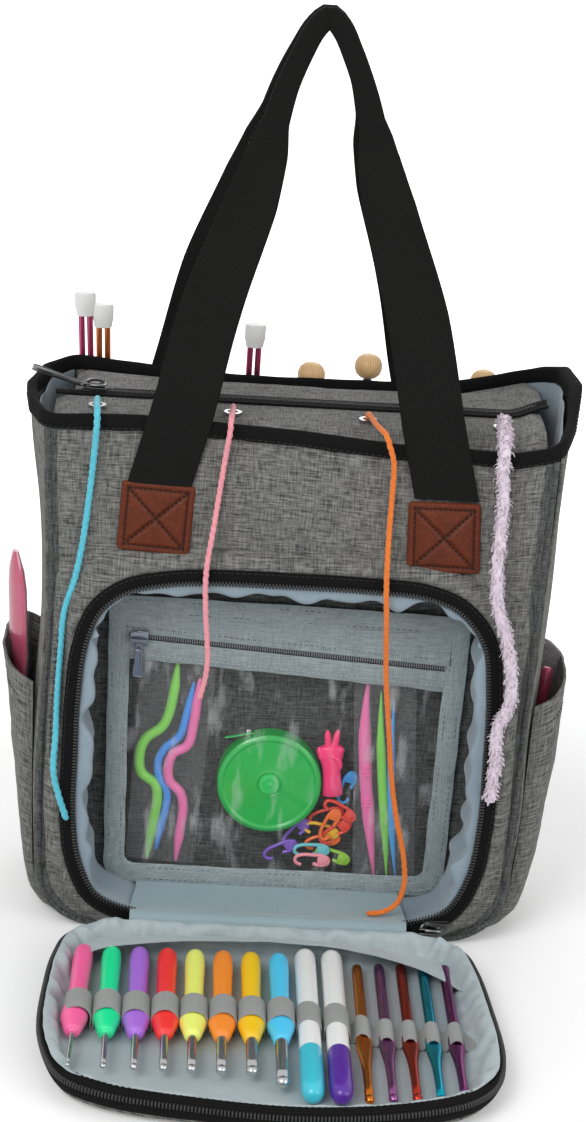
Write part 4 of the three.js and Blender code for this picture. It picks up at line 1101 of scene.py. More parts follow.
def coil_height(x):
    """The height of the window zip's closed teeth, which slope down to the right."""
    return 140.7 - (x - 1.5) * math.tan(math.radians(3.4))


def build_window():
    """The frame tape, the zip across its top, the film and their stitches."""
    outer, inner = window_outline(0), window_outline(9.8)
    band = np.array([upright(outer + (inner - outer) * share, -26.9 - lift)
                     for share, lift in ((0, 0), (0.08, 0.4), (0.5, 0.65), (0.92, 0.4), (1, 0))])
    band = np.concatenate([band, band[:, :1]], 1)
    band = roughen(band, 11, 0.3, 6)
    band += 0.5 * grain_noise(band, 16, 44)[..., None] * [1, 0, 1]
    tape = draped_sheet("window_frame_tape", band, FRAME_TAPE, 0.9, 1, seam=True)
    own(tape, "bag", ("window_binding",))
    for label, inset in (("outer", 1.8), ("inner", 8.0)):
        line = upright(window_outline(inset), -28.0)
        own(stitch_row("window_stitches_" + label, line, GREY_THREAD, FRONT, 3.1, 2.0, 0.3, True), "bag")
    x = np.linspace(-78.5, 82, 90)
    top = coil_height(x)
    upper = np.array([upright(np.stack([x, z], -1), depth) for z, depth in (
        (top + 1.6, -27.9), (top + 2.6, -28.2), (top + 0.5 * (155 - top), -28.1),
        (156.5 - 3.0 * (x + 87) / 178, -27.6))])
    upper = draped_sheet("window_zip_upper", roughen(upper, 13, 0.25, 25), FRAME_TAPE, 0.6, 1)
    own(upper, "bag")
    lower = np.array([upright(np.stack([x, top - drop + 0.7 * grain_noise(np.stack([x, x * 0, x * 0], -1), 17, 60)
                                        * (drop > 6)], -1), depth)
                      for drop, depth in ((1.6, -27.9), (2.6, -28.2), (6.5, -28.1), (11.5, -27.9), (12.3, -27.5))])
    lower = draped_sheet("window_zip_lower", roughen(lower, 13, 0.25, 26), FRAME_TAPE, 0.6, 1)
    own(lower, "bag")
    line = upright(np.stack([x, top - 9.3], -1), -28.35)
    own(stitch_row("window_zip_stitches", line, PALE_THREAD, FRONT, 2.6, 1.9, 0.3), "bag")
    line = upright(np.stack([x, top + 4.6], -1), -28.6)
    own(stitch_row("window_zip_stitches_upper", line, GREY_THREAD, FRONT, 2.8, 1.9, 0.25), "bag")
    coil = upright(np.stack([x, top], -1), -27.7)
    teeth = zip_teeth("window_zip_teeth", coil, FRONT, 1.15, (0.9, 0.7, 2.6), paint=FRAME_DARK)
    own(teeth, "bag")
    s, t = np.meshgrid(np.linspace(0, 1, 61), np.linspace(0, 1, 45))
    x, z = -77.5 + 157.5 * s, 20.5 + 113.5 * t
    rows = np.stack([x, np.full_like(x, -26.55), z], -1)
    creased = np.abs(grain_noise(rows * [1, 1, 0.5], 26, 71)) + 0.5 * np.abs(grain_noise(rows, 11, 72))
    edge = np.minimum(np.minimum(s, 1 - s), np.minimum(t, 1 - t))
    rows[..., 1] -= 1.7 * creased * ease(edge, 0, 0.1)
    film = draped_sheet("window_film", rows, FILM, 0.25, 1)
    own(film, "bag", ("clear_window",))


FRAME_DARK = moulded_paint("grey_nylon", rgb(62, 70, 80), 0.35, 0.3, 0.2)
build_swelling()
build_mouth_zip()
build_pocket_lining()
build_pocket_back()
build_window()


# Closed top: two lid cloths with the zip between them

ZIP_PLACE = 260.2


def zip_height(x):
    """The top zip lies level, and its right end stands up with the flared side."""
    return ZIP_PLACE + 6.6 * ease(x, 102.5, 125)


def rim_height(x, y):
    points = np.stack([x, np.full_like(x, y), np.full_like(x, 257.6)], -1)
    return soften(points)[:, 2]


def build_lid(name, side, ends, seed):
    """One lid cloth from the rim to the zip; side is -1 for the front one."""
    x = np.linspace(*ends, 97)
    zip_side, rim_z = zip_height(x), rim_height(x, side * 50)
    rows = []
    for share in np.linspace(0, 1, 25):
        y = side * (50.4 - (50.4 - 5.6) * share)
        rise = 1 - (1 - min(share / 0.55, 1)) ** 2
        rows.append(np.stack([x, np.full(97, y), rim_z + (zip_side + 0.1 - rim_z) * rise], -1))
    rows = np.array(rows)
    share = np.linspace(0, 1, 25)[:, None]
    loose = np.sin(math.pi * share) * (1 if side > 0 else 0.55)
    rows[..., 2] += loose * (0.9 * grain_noise(rows * [0.5, 1, 1], 22, seed) + 0.4 * grain_noise(rows, 9, seed + 3) - 0.3)
    curl = 1 - ease(np.minimum(np.abs(x - ends[0]), np.abs(x - ends[1])), 0, 5)
    rows[..., 2] -= 2.4 * curl
    lid = draped_sheet(name, rows, HEATHER, 1.1, -1, flat=(0, 1))
    return lid


def build_top():
    front = build_lid("lid_front_cloth", -1, (-118.5, 118.5), 40)
    own(front, "bag", ("top_panel_front",))
    rear = build_lid("lid_rear_cloth", 1, (-110, 121), 47)
    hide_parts("top_panel_rear")
    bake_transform(rear)
    section = np.array([(-3.1, -0.4), (3.0, -0.45), (3.2, 0), (3.0, 0.5), (0, 0.65), (-3.0, 0.5)])
    for side, low, body, label in ((-1, -119.0, "bag", "front"), (1, -91.0, "rear_lid", "rear")):
        x = np.linspace(low, 122, 90)
        path = np.stack([x, np.full(90, side * 3.6), zip_height(x) + 0.75], -1)
        tape = carried("lid_zip_" + label, path, section, UP, BLACK_TAPE)
        own(tape, body, ("top_zip_tape_" + label,))
        path[:, 1] = side * 1.0
        path[:, 2] += 0.25
        keep = path[path[:, 0] < 117]
        own(zip_teeth("lid_zip_teeth_" + label, keep, UP, 1.5, (2.2, 0.9, 1.5)), body)
        path[:, 1] = side * 5.3
        path[:, 2] += 0.25
        own(stitch_row("lid_zip_stitches_" + label, path[2:], DARK_THREAD, UP, 2.8, 1.9, 0.22), body)


def slider(name, length, width, height, paint):
    """A zip slider with its neck towards +X: two plates, the wings' edges, and the loop for the pull."""
    parts = []
    for level, tall in ((height * 0.16, height * 0.3), (height * 0.84, height * 0.3)):
        plate = block("plate", (length, width, tall), paint, tall * 0.35, 2, (0, 0, level))
        for vertex in plate.data.vertices:
            share = vertex.co.x / (length * MM) + 0.5
            vertex.co.y *= 0.62 + 0.38 * math.sin(math.pi * min(share * 1.25, 1) / 2) if share < 0.8 else 1.0
        parts.append(plate)
    parts.append(block("post", (length * 0.3, width * 0.16, height), paint, 0.2, 1,
                       (length * 0.3, 0, height / 2)))
    for side in (-1, 1):
        parts.append(block("wing", (length * 0.7, width * 0.09, height * 0.42), paint, 0.2, 1,
                           (length * 0.12, side * width * 0.455, height * 0.72)))
    turn = np.linspace(0, math.pi, 15)
    arch = np.stack([length * 0.36 * np.cos(turn), np.zeros(15),
                     height * 0.95 + height * 0.62 * np.sin(turn)], -1)
    parts.append(carried("arch", arch, oval(width * 0.13, 0.5, 8), FRONT, paint))
    return join_up(name, parts)


def pull_tab(name, length, width, thick, paint, hook=2.2):
    """A pull: a ring that hangs in the slider's loop, and a flat waisted tab with a raised edge."""
    turn = np.linspace(0, 2 * math.pi, 20, endpoint=False)
    ring = np.stack([hook + hook * np.cos(turn), 0.85 * hook * np.sin(turn), np.zeros(20)], -1)
    parts = [carried("ring", ring, oval(0.62, 0.62, 8), UP, paint, True)]
    start = hook * 1.7
    along = np.linspace(start, length, 24)
    half = width / 2 * np.interp((along - start) / (length - start), [0, 0.08, 0.3, 0.75, 0.93, 1],
                                 [0.5, 0.72, 0.62, 0.92, 1.0, 0.72])
    section = np.stack([np.stack([w * oval(1, 1, 12, 4)[:, 0], thick / 2 * oval(1, 1, 12, 4)[:, 1]],
                                 -1) for w in half])
    parts.append(carried("tab", np.stack([along, along * 0, along * 0], -1), section, UP, paint))
    edge = np.concatenate([np.stack([along, half * 0.86, along * 0], -1),
                           np.stack([along, -half * 0.86, along * 0], -1)[::-1]])
    for level in (-1, 1):
        parts.append(carried("edge", edge + [0, 0, level * thick * 0.46], oval(0.32, 0.3, 6), UP, paint,
                             True))
    return join_up(name, parts)


def build_top_pull():
    piece = slider("lid_slider_body", 11, 7.2, 2.8, ZINC)
    set_down(piece, (-100.2, 0, 262.7), UP, FRONT)
    own(piece, "lid_slider", ("top_zip_slider",))
    pull = pull_tab("lid_pull_tab", 27, 6.4, 1.8, ZINC, 1.4)
    slope = math.radians(17)
    outwards = np.array([-math.cos(slope), 0, math.sin(slope)])
    level = np.array([math.sin(slope), 0, math.cos(slope)])
    turned = Matrix([[outwards[k], np.cross(level, outwards)[k], level[k]] for k in range(3)]).to_4x4()
    pull.data.transform(Matrix.Translation(Vector((-105.0, 0, 263.9)) * MM) @ turned)
    own(pull, "lid_pull", ("top_zip_pull",))


build_top()
build_top_pull()


# Handles and their leather patches

STRAP_SPREAD, STRAP_FOOT, STRAP_RISE, STRAP_MIDDLE = 68.5, 232.2, 217.4, 2.5
STRAP_WIDE, STRAP_THICK, GRIP_THICK = 30.0, 1.8, 5.2
STRAP_RISES = (0, 0.162, 0.391, 0.612, 0.717, 0.777, 0.855, 0.924, 0.975, 1)
STRAP_SPREADS = (1, 0.87, 0.71, 0.475, 0.38, 0.335, 0.266, 0.175, 0.09, 0)
STRAP_WIDTHS = (1, 1, 0.98, 0.85, 0.66, 0.43, 0.37, 0.35, 0.35, 0.35)
STRAP_THICKS = (0, 0, 0, 0.1, 0.4, 0.85, 1, 1, 1, 1)


def strap_path(side):
    """The middle line of a handle from its left foot to its right one, with its width and thickness."""
    rises = np.array(STRAP_RISES)
    half = np.stack([STRAP_MIDDLE - STRAP_SPREAD * np.array(STRAP_SPREADS), STRAP_FOOT + STRAP_RISE * rises],
                    -1)
    other = half[-2::-1] * [-1, 1] + [2 * STRAP_MIDDLE, 0]
    line = smooth_line(np.vstack([half, other]), 150)
    share = np.clip((line[:, 1] - STRAP_FOOT) / STRAP_RISE, 0, 1)
    lean = np.clip((share - 0.21) / 0.79, 0, 1)
    depth = side * (56.8 - (56.8 - 4.4) * (lean - 0.06 * np.sin(math.pi * lean)))
    path = np.stack([line[:, 0], depth, line[:, 1]], -1)
    wide = STRAP_WIDE * np.interp(share, rises, STRAP_WIDTHS)
    thick = STRAP_THICK + (GRIP_THICK - STRAP_THICK) * np.interp(share, rises, STRAP_THICKS)
    return path, wide, thick, share


def build_strap(name, side, body, node):
    path, wide, thick, share = strap_path(side)
    path[:, 1] += side * 0.5 * grain_noise(path, 40, 50 + side) * ease(share, 0.1, 0.3) * (1 - ease(share, 0.8, 0.95))
    unit_box = oval(1, 1, 20, 5)
    section = np.stack([np.stack([unit_box[:, 0] * w / 2, unit_box[:, 1] * t / 2], -1) for w,
                        t in zip(wide, thick)])
    folded = ease(share, 0.62, 0.8)
    lips = 0.9 * np.exp(-((unit_box[:, 0]) / 0.22) ** 2) * (unit_box[:, 1] * -side > 0)
    section[..., 1] *= 1 - folded[:, None] * 0.32 * lips[None]
    bowl = -side * 0.06 * (unit_box[:, 0] ** 2) * wide[:, None] * (ease(share, 0.3, 0.55) * (1 - folded))[:, None]
    section[..., 1] += bowl
    level = (1 - ease(share, 0.0, 0.09))[:, None]
    steep = np.abs(unit(np.gradient(path, axis=0))[:, 2:])

    def cut_level(rows):
        rows[..., 2] = rows[..., 2] * (1 - level) + path[:, 2:] * level
        rows[..., 0] = path[:, :1] + (rows[..., 0] - path[:, :1]) * (1 + level * (1 / np.maximum(steep, 0.7) ** 2 - 1))
        return rows

    strap = carried(name, path, section, FRONT, WEBBING, angle=60, soft=cut_level)
    own(strap, body, (node,))
    grip = np.where(share > 0.68)[0]
    for k, shift in enumerate((-0.3, 0.3)):
        side_way = unit(np.cross(unit(np.gradient(path, axis=0)), FRONT))
        line = path[grip] + side_way[grip] * (wide[grip] * shift)[:, None]
        out = np.array(FRONT) * -side
        line = line - out * (thick[grip] * 0.47)[:, None]
        own(stitch_row(f"{name}_stitches_{k + 1}", line, DARK_THREAD, -out, 3.2, 2.2, 0.25), body)


PATCHES = (("front_left", -1, (-85.4, 199.0), (-50.0, 197.0), (-48.4, 232.4), (-83.9, 234.0)),
           ("front_right", -1, (54.0, 195.6), (90.2, 195.4), (87.8, 231.4), (52.6, 231.0)),
           ("rear_left", 1, (-83.6, 198.2), (-49.6, 198.0), (-48.6, 232.2), (-83.4, 232.6)),
           ("rear_right", 1, (54.0, 197.6), (88.6, 197.4), (88.2, 231.8), (53.6, 232.0)))


def patch_spot(corners, s, t):
    """A point of the patch for shares across and up."""
    a, b, c, d = (np.array(corner) for corner in corners)
    s, t = np.asarray(s, float)[..., None], np.asarray(t, float)[..., None]
    return (1 - t) * ((1 - s) * a + s * b) + t * ((1 - s) * d + s * c)


def build_patch(label, side, corners):
    """A stuffed leather patch: raised edge, a sewn box inside it, and a cross that parts it in four."""
    s, t = np.meshgrid(np.linspace(0, 1, 53), np.linspace(0, 1, 53))
    edge = np.minimum(np.minimum(s, 1 - s), np.minimum(t, 1 - t)) * 34
    corner = np.hypot(np.maximum(0, 3 - np.minimum(s, 1 - s) * 34),
                      np.maximum(0, 3 - np.minimum(t, 1 - t) * 34))
    flat = patch_spot(corners, s, t)
    centre = np.mean(corners, axis=0)
    flat = centre + (flat - centre) * (1 - 0.035 * ease(corner, 2, 4.2))[..., None]
    box = np.exp(-((edge - 3.4) / 0.7) ** 2)
    cross = np.maximum(np.exp(-(((s - t) * 24) / 1.1) ** 2),
                       np.exp(-(((s + t - 1) * 24) / 1.1) ** 2)) * (edge > 3.4)
    puff = np.sqrt(np.clip((edge - 3.4) / 10, 0, 1)) * 1.5 * (1 - 0.75 * cross)
    height = 1.7 * ease(edge, -0.6, 1.4) - 0.6 * box - 0.6 * cross + puff
    rows = upright(flat, side * (56.3 + height))
    rows = roughen(rows, 9, 0.18, 33)
    patch = draped_sheet("patch_" + label, rows, LEATHER, 1.5, side if side < 0 else 1, flat=(0, 2), angle=60)
    own(patch, "bag", ("strap_patch_" + label,))
    inset = 3.4 / 34
    loop = [(inset, inset), (1 - inset, inset), (1 - inset, 1 - inset), (inset, 1 - inset), (inset, inset)]
    sewn = []
    for k, run in enumerate((loop, [(inset, inset), (1 - inset, 1 - inset)],
                             [(inset, 1 - inset), (1 - inset, inset)])):
        spots = evenly(np.array(run), 90)
        line = upright(patch_spot(corners, spots[:, 0], spots[:, 1]), side * (57.75 if k == 0 else 58.15))
        sewn.append(stitch_row("seam", line, LEATHER_THREAD, (0, side, 0), 2.3, 1.6, 0.42))
    own(join_up("patch_stitches_" + label, sewn), "bag")


build_strap("handle_front", -1, "front_strap", "strap_front")
build_strap("handle_rear", 1, "rear_strap", "strap_rear")
for label, side, *corners in PATCHES:
    build_patch(label, side, corners)


# Pockets on the sides and the rear

SIDE_REACH = {-1: ([0, 3, 6, 14, 42, 90, 134], [99, 112, 119, 123.5, 127.5, 134, 139.5]),
              1: ([0, 3, 6, 14, 42, 90, 134], [99, 113, 121.5, 129, 135.5, 140.5, 142])}


def build_side_pocket(label, side):
    """An open pouch, sewn on along both edges and its rounded foot, its top pulled in by a band."""
    s = np.linspace(0, 1, 61)
    round_in = np.sin(math.pi * s) ** 0.55
    rows = []
    for share in np.linspace(0, 1, 41) ** 1.25:
        top = 134 - 9 * (1 - round_in)
        z = 1.4 + (top - 1.4) * share
        dip = np.clip(CORNER - z, 0, CORNER)
        wall = half_width(z) - CORNER + np.sqrt(CORNER**2 - dip**2) + 0.8 + np.where(side > 0, 2.2, 1.2) * ease(z, 4, 70)
        reach = np.maximum(np.interp(z, *SIDE_REACH[side]), wall)
        rows.append(np.stack([side * (wall + (reach - wall) * round_in), -46 * np.cos(math.pi * s), z], -1))
    rows = np.array(rows)
    slack = np.sin(math.pi * s)[None] * ease(rows[..., 2], 6, 30)
    rows[..., 0] += side * slack * (1.5 * grain_noise(rows * [0.4, 1, 0.5], 20, 61 + side)
                                    + 0.6 * grain_noise(rows, 8, 66 + side))
    hem = np.exp(-((rows[..., 2] - rows[-1:, :, 2] + 13) / 1.3) ** 2)
    rows[..., 0] -= side * 0.8 * hem * slack
    rows = rows if side < 0 else rows[:, ::-1]
    pocket = draped_sheet("side_pocket_cloth_" + label, rows, HEATHER, 1.2, 0)
    own(pocket, "bag", ("side_pocket_" + label,))
    line = rows[np.argmax(hem[:, 30])] + [side * 0.9, 0, 0]
    own(stitch_row("side_pocket_stitches_" + label, line[2:-2], DARK_THREAD, (side, 0, 0), 3.2, 2.1, 0.26),
        "bag")


def build_rear_pocket():
    """A full-width pouch that bulges from just above its floor seam to its open hem."""
    s = np.linspace(-1, 1, 71)
    rows = []
    for share in np.linspace(0, 1, 43):
        z = 5 + 185 * share
        wide = 117 - 24 * (1 - min(share / 0.13, 1)) ** 2
        full = (1 - np.abs(s) ** 9) * ease(share, -0.012, 0.035)
        rows.append(np.stack([s * wide, 55.2 + 12.4 * full, np.full(71, z)], -1))
    rows = np.array(rows)
    slack = (1 - np.abs(s) ** 4)[None] * ease(rows[..., 2], 10, 50)
    rows[..., 1] += slack * (1.1 * grain_noise(rows * [1, 1, 0.5], 34, 81) + 0.5 * grain_noise(rows, 12, 82))
    rows[..., 1] -= 0.9 * np.exp(-((rows[..., 2] - 176) / 1.4) ** 2) * slack
    pocket = draped_sheet("rear_pocket_cloth", rows, HEATHER, 1.2, 0)
    own(pocket, "bag", ("rear_pocket",))
    line = rows[np.argmin(np.abs(rows[:, 35, 2] - 176))] + [0, 0.8, 0]
    own(stitch_row("rear_pocket_stitches", line[2:-2], DARK_THREAD, (0, 1, 0), 3.2, 2.1, 0.26), "bag")


build_side_pocket("left", -1)
build_side_pocket("right", 1)
build_rear_pocket()


# The flap: outer wall, zip rim, gathered tray lining, hinge strip, elastic and slip pocket

FLAP = smooth_line([(-60, -77), (-71, -77.5), (-87, -82), (-99, -93), (-104, -112), (-106.5, -141),
                    (-106, -195),
                    (-95, -231), (-77, -244), (-33.5, -254), (10, -258), (53, -252), (85, -239), (98.5, -222),
                    (103.5, -197), (102, -150), (98.5, -112), (94, -94), (84, -83), (68, -78), (57, -77.5),
                    (30, -77), (0, -77), (-30, -77)], 240, True)
_ahead = unit(np.roll(FLAP, -1, 0) - np.roll(FLAP, 1, 0))
FLAP_OUT = np.stack([-_ahead[:, 1], _ahead[:, 0]], -1)
FLAP_OUT *= np.sign((FLAP_OUT * (FLAP - [0, -165])).sum(1).mean())
HINGE_HALF = 67.0
# How near each point of the outline is to the hinge strip
AT_HINGE = (1 - ease(np.abs(FLAP[:, 0]), 62, 72)) * (FLAP[:, 1] > -90)
AT_CORNER = np.exp(-((np.hypot(np.abs(FLAP[:, 0]) - 84, FLAP[:, 1] + 84)) / 20) ** 2)
# Where the gathered lining comes up over the black edge: at the hinge and along both sides
BROAD = np.clip(ease(np.abs(FLAP[:, 0]), 60, 96) * (1 - ease(-FLAP[:, 1], 212, 246)) + AT_HINGE + AT_CORNER,
                0, 1)


def flap_rows(offsets, heights):
    """Rows round the flap, each moved outwards by an offset and set at a height."""
    rows = []
    for offset, height in zip(offsets, heights):
        flat = FLAP + FLAP_OUT * np.broadcast_to(np.asarray(offset, float), len(FLAP))[:, None]
        rows.append(np.concatenate([flat, np.broadcast_to(np.asarray(height, float), len(FLAP))[:, None]], 1))
    rows = np.array(rows)
    return np.concatenate([rows, rows[:, :1]], 1)


def towards_middle(edge_row, heights, shares):
    """Rows from an edge in to the flap's middle."""
    middle = np.array([0, -165.0, 0])
    rows = []
    for share, height in zip(shares, heights):
        row = middle + (edge_row - middle) * [1 - share, 1 - share, 0]
        row[:, 2] = height
        rows.append(row)
    return np.array(rows)


def build_flap_cloth():
    """The underside: heather cloth from inside the black edge down and under the flap."""
    wall = flap_rows([-2.2, -3.4, -7, -14], [5.2 - 3.6 * AT_HINGE, 2.6 - 1.4 * AT_HINGE, 1.1, 0.75])
    under = towards_middle(wall[-1], [0.7, 0.9, 1.1, 1.3, 1.3], [0.1, 0.35, 0.6, 0.85, 0.998])
    rows = np.concatenate([wall, under])
    rows[:4] += 0.4 * grain_noise(rows[:4], 16, 90)[..., None] * [1, 1, 0.4]
    rows[..., 2] = np.maximum(rows[..., 2], 0.65)
    cloth = draped_sheet("flap_cloth", rows, HEATHER, 1.0, 0, seam=True, flat=(0, 1))
    own(cloth, "flap", ("flap_panel",))


def flap_ring_order():
    """The outline's points from the right end of the hinge round to its left end."""
    low = (np.abs(FLAP[:, 0]) < HINGE_HALF) & (FLAP[:, 1] > -90)
    keep = np.where(~low)[0]
    gap = np.where(np.diff(keep) > 1)[0]
    start = int(gap[0]) + 1 if len(gap) else 0
    return np.concatenate([keep[start:], keep[:start]])


def build_flap_zip():
    """The black edge: from the lining's hem over the rim, past the teeth, and down the outside."""
    order = flap_ring_order()
    lift = 1.2 * AT_CORNER[order]
    path = np.concatenate([FLAP[order], (12 + lift)[:, None]], 1)
    section = np.array([(-6.3, 0.6), (-6.5, 1.3), (-5.0, 1.9), (-3.2, 2.1), (-1.4, 1.6), (0.1, 0.2),
                        (0.8, -1.8), (0.7, -4.0),
                        (-0.3, -6.2), (-2.2, -8.0), (-5.2, -9.4), (-5.6, -8.6), (-3.0, -7.0), (-1.2, -4.4),
                        (-0.9, -2.0),
                        (-1.6, -0.6), (-3.4, 0.8)])
    ahead = np.gradient(path, axis=0)
    turned = np.sign((np.cross(unit(ahead), UP)[:, :2] * FLAP_OUT[order]).sum(1).mean())
    tucked = np.repeat(section[None], len(order), 0)
    inside = (tucked[..., 0] < -0.5) * BROAD[order][:, None]
    tucked[..., 0] *= 1 - 0.5 * inside
    tucked[..., 1] -= 1.5 * inside * (tucked[..., 1] > 0)
    rows = carried("flap_zip_band", path, tucked * [turned, 1], UP, BLACK_TAPE,
                   soft=lambda r: roughen(r, 13, 0.3, 95, 2))
    own(rows, "flap", ("flap_zip_tape",))
    out = np.concatenate([FLAP_OUT[order], np.zeros((len(order), 1))], 1)
    inner = path + out * 0.3 + np.array([0, 0, -0.8])
    own(zip_teeth("flap_zip_teeth", inner, UP, 1.6, (2.4, 1.0, 2.6)), "flap")
    seam = (path - out * 4.6 + np.array([0, 0, 2.1]))[BROAD[order] < 0.25]
    own(stitch_row("flap_zip_stitches", seam, DARK_THREAD, UP, 2.8, 1.9, 0.22), "flap")


def build_tray():
    """The gathered lining: up the inside of the rim, down the wall and over the floor."""
    narrow = [(-5.0, 13.2), (-6.2, 14.0), (-7.2, 13.0), (-8.2, 11.0), (-9.4, 8.4), (-10.8, 6.2), (-12.6, 4.9)]
    broad = [(-1.5, 14.2), (-2.6, 15.2), (-4.8, 14.6), (-6.8, 12.2), (-8.0, 9.2), (-9.2, 6.8), (-11.2, 4.9)]
    snug = 1 - 0.1 * (FLAP[:, 0] < -90)
    wall = flap_rows([(a[0] + (b[0] - a[0]) * BROAD) * snug for a, b in zip(narrow, broad)],
                     [a[1] + (b[1] - a[1]) * BROAD + 1.2 * AT_CORNER * (a[1] > 9) for a,
                      b in zip(narrow, broad)])
    floor = towards_middle(wall[-1], [4.6, 4.5, 4.5, 4.5, 4.5, 4.5], [0.04, 0.15, 0.35, 0.6, 0.85, 0.998])
    rows = np.concatenate([wall, floor])
    gather = grain_noise(rows * [1, 1, 0.15], 12, 97) + 0.35 * grain_noise(rows * [1, 1, 0.3], 6, 98)
    fold = np.clip(1 - 5 * np.abs(gather), -1, 1)
    share = np.concatenate([[0.15, 0.7, 1, 1.2, 1.1, 0.9, 0.6, 0.3], np.zeros(5)])[:, None]
    strong = 0.6 + 0.9 * np.append(BROAD, BROAD[0])[None] + 1.1 * np.append(AT_CORNER, AT_CORNER[0])[None]
    away = np.concatenate([FLAP_OUT, FLAP_OUT[:1]])
    rows[..., :2] -= away[None] * (share * np.minimum(strong, 1.3) * 0.8 * fold)[..., None]
    rows[..., 2] += share * strong * (1.1 * fold + 0.3)
    rows[7:, :, 2] += 0.45 * np.abs(grain_noise(rows[7:] * [1, 0.6, 1], 15, 99))
    rows[..., 2] = np.maximum(rows[..., 2], 4.3)
    tray = draped_sheet("flap_tray_lining", rows, TRAY_LINING, 0.5, 0, seam=True, flat=(0, 1), finer=1)
    own(tray, "flap", ("flap_lining",))


def build_hinge_strip():
    profile = smooth_line([(-25.5, 12.5), (-40, 12.3), (-56, 12.35), (-61.5, 13.1), (-65.3, 14.2),
                           (-68.4, 12.6),
                           (-70.6, 8.6), (-73.6, 5.9), (-78, 5.1), (-88, 4.9)], 60)
    x = np.linspace(-HINGE_HALF - 3, HINGE_HALF + 3, 90)
    x = np.where(x > 0, x * 0.965, x)
    rows = np.array([np.stack([x * (1 - 0.03 * ease(y, -60, -30)), np.full(90, y), np.full(90, z)], -1)
                     for y, z in profile])
    slack = (1 - ease(rows[..., 1], -62, -50)) * (1 - np.abs(x / 70) ** 6)[None]
    rows[..., 2] += slack * 0.45 * grain_noise(rows * [0.5, 1, 1], 15, 101)
    strip = draped_sheet("hinge_strip", rows, STRIP_CLOTH, 0.5, 0, flat=(0, 1))
    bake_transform(strip)


HOOK_XS = [-90.5 + 13.4 * k for k in range(8)]
PEN_XS = [16.3, 29.1]
SLIM_XS = [41.4 + 10.7 * k for k in range(5)]
ACROSS_TOOLS = ([(x, 10.9, 5.9) for x in HOOK_XS] + [(x, 10.0, 5.2) for x in PEN_XS] + [(x, 8.3, 2.6) for x in SLIM_XS])


def build_elastic():
    """One band over all the tools, sewn to the floor between each and the next."""
    points = [(-103.5, 6.2), (-100, 5.4)]
    for k, (x, z, radius) in enumerate(ACROSS_TOOLS):
        turn = np.radians(np.linspace(-82, 82, 11))
        points += list(zip(x + (radius + 0.75) * np.sin(turn), z + (radius + 0.75) * np.cos(turn)))
        if k + 1 < len(ACROSS_TOOLS):
            valley = (x + radius + ACROSS_TOOLS[k + 1][0] - ACROSS_TOOLS[k + 1][2]) / 2
            points += [(valley - 0.25, 5.6), (valley + 0.25, 5.6)]
    points += [(90.5, 5.4), (97, 6.4)]
    line = evenly(smooth_line(points, 900), 560)
    rows = []
    for share in np.linspace(0, 1, 9):
        y = -156.6 - 18 * share - 6.5 * ease(line[:, 0], 20, 60) + 0.35 * np.sin(line[:, 0] / 4.3)
        squeeze = 0.35 * abs(2 * share - 1) ** 4
        rows.append(np.stack([line[:, 0], y, line[:, 1] - squeeze * (line[:, 1] - 5.4) / 12], -1))
    band = draped_sheet("tool_elastic", np.array(rows), ELASTIC, 0.6, 1)
    own(band, "flap", ("elastic_band",))


def build_slip_pocket():
    """The pocket that covers the tools' upper ends, its mouth held up by them."""
    x = np.linspace(-96, 93, 150)
    hem_y = np.interp(x, [-96, -92, -70, -40, 0, 35, 60, 80, 93],
                      [-114, -113, -107, -101.5, -99, -101, -108, -118, -127])
    hem_z = np.interp(x, [-96, -91, -84, -50, 0, 35, 60, 80, 93],
                      [7, 12.5, 15.4, 16.6, 17, 16.2, 14.2, 12, 7])
    soft_y = np.convolve(np.pad(hem_y, 6, "edge"), np.ones(13) / 13, "valid")
    soft_z = np.convolve(np.pad(hem_z, 6, "edge"), np.ones(13) / 13, "valid")
    rows = []
    for share in np.linspace(0, 1, 21):
        rise = math.sin(math.pi / 2 * min(share * 1.12, 1)) ** 0.8
        inwards = x * (0.85 + 0.15 * ease(share, 0, 0.4))
        rows.append(np.stack([inwards, -83.5 + (soft_y + 83.5) * share, 5.2 + (soft_z - 5.2) * rise], -1))
    rows = np.array(rows)
    share = np.linspace(0, 1, 21)[:, None]
    rows[..., 2] += np.sin(math.pi * np.clip(share, 0, 0.9)) * 0.9 * grain_noise(rows * [1, 0.6, 0], 9, 111)
    rows[..., 2] = np.maximum(rows[..., 2], 5.0)
    pocket = draped_sheet("slip_pocket_cloth", rows, TRAY_LINING, 0.6, 0, flat=(0, 1))
    own(pocket, "flap", ("slip_pocket",))


build_flap_cloth()
build_flap_zip()
build_tray()
build_hinge_strip()
build_elastic()
build_slip_pocket()


# Tools in the flap, each on its own body

ALONG_FLAP = (0, -1, 0)
HOOK_TOP, PEN_TOP, SLIM_TOP = -104.3, -96.8, -105.3
HOOK_NAMES = ("pink", "green", "purple", "red", "lime", "orange", "amber", "blue")
HOOK_COLOURS = (rgb(255, 102, 164), rgb(10, 236, 156), rgb(174, 110, 224), rgb(252, 50, 48),
                rgb(242, 252, 120),
                rgb(255, 146, 42), rgb(255, 206, 10), rgb(78, 206, 250))
GRIP = [(0.8, 0.8, 0), (2.7, 2.6, 0.5), (3.9, 3.8, 1.9), (4.5, 4.4, 4.5), (4.75, 4.6, 9), (4.8, 4.6, 16),
        (4.6, 4.5, 26),
        (4.45, 4.45, 38), (4.5, 4.5, 46), (4.9, 4.6, 54), (5.6, 4.8, 61), (6.2, 5.0, 66), (6.4, 5.1, 69.5),
        (6.35, 5.05, 71.6), (6.0, 4.85, 73.6), (5.1, 4.3, 78), (4.2, 3.8, 82), (3.7, 3.5, 83.6),
        (2.8, 2.8, 84.4)]


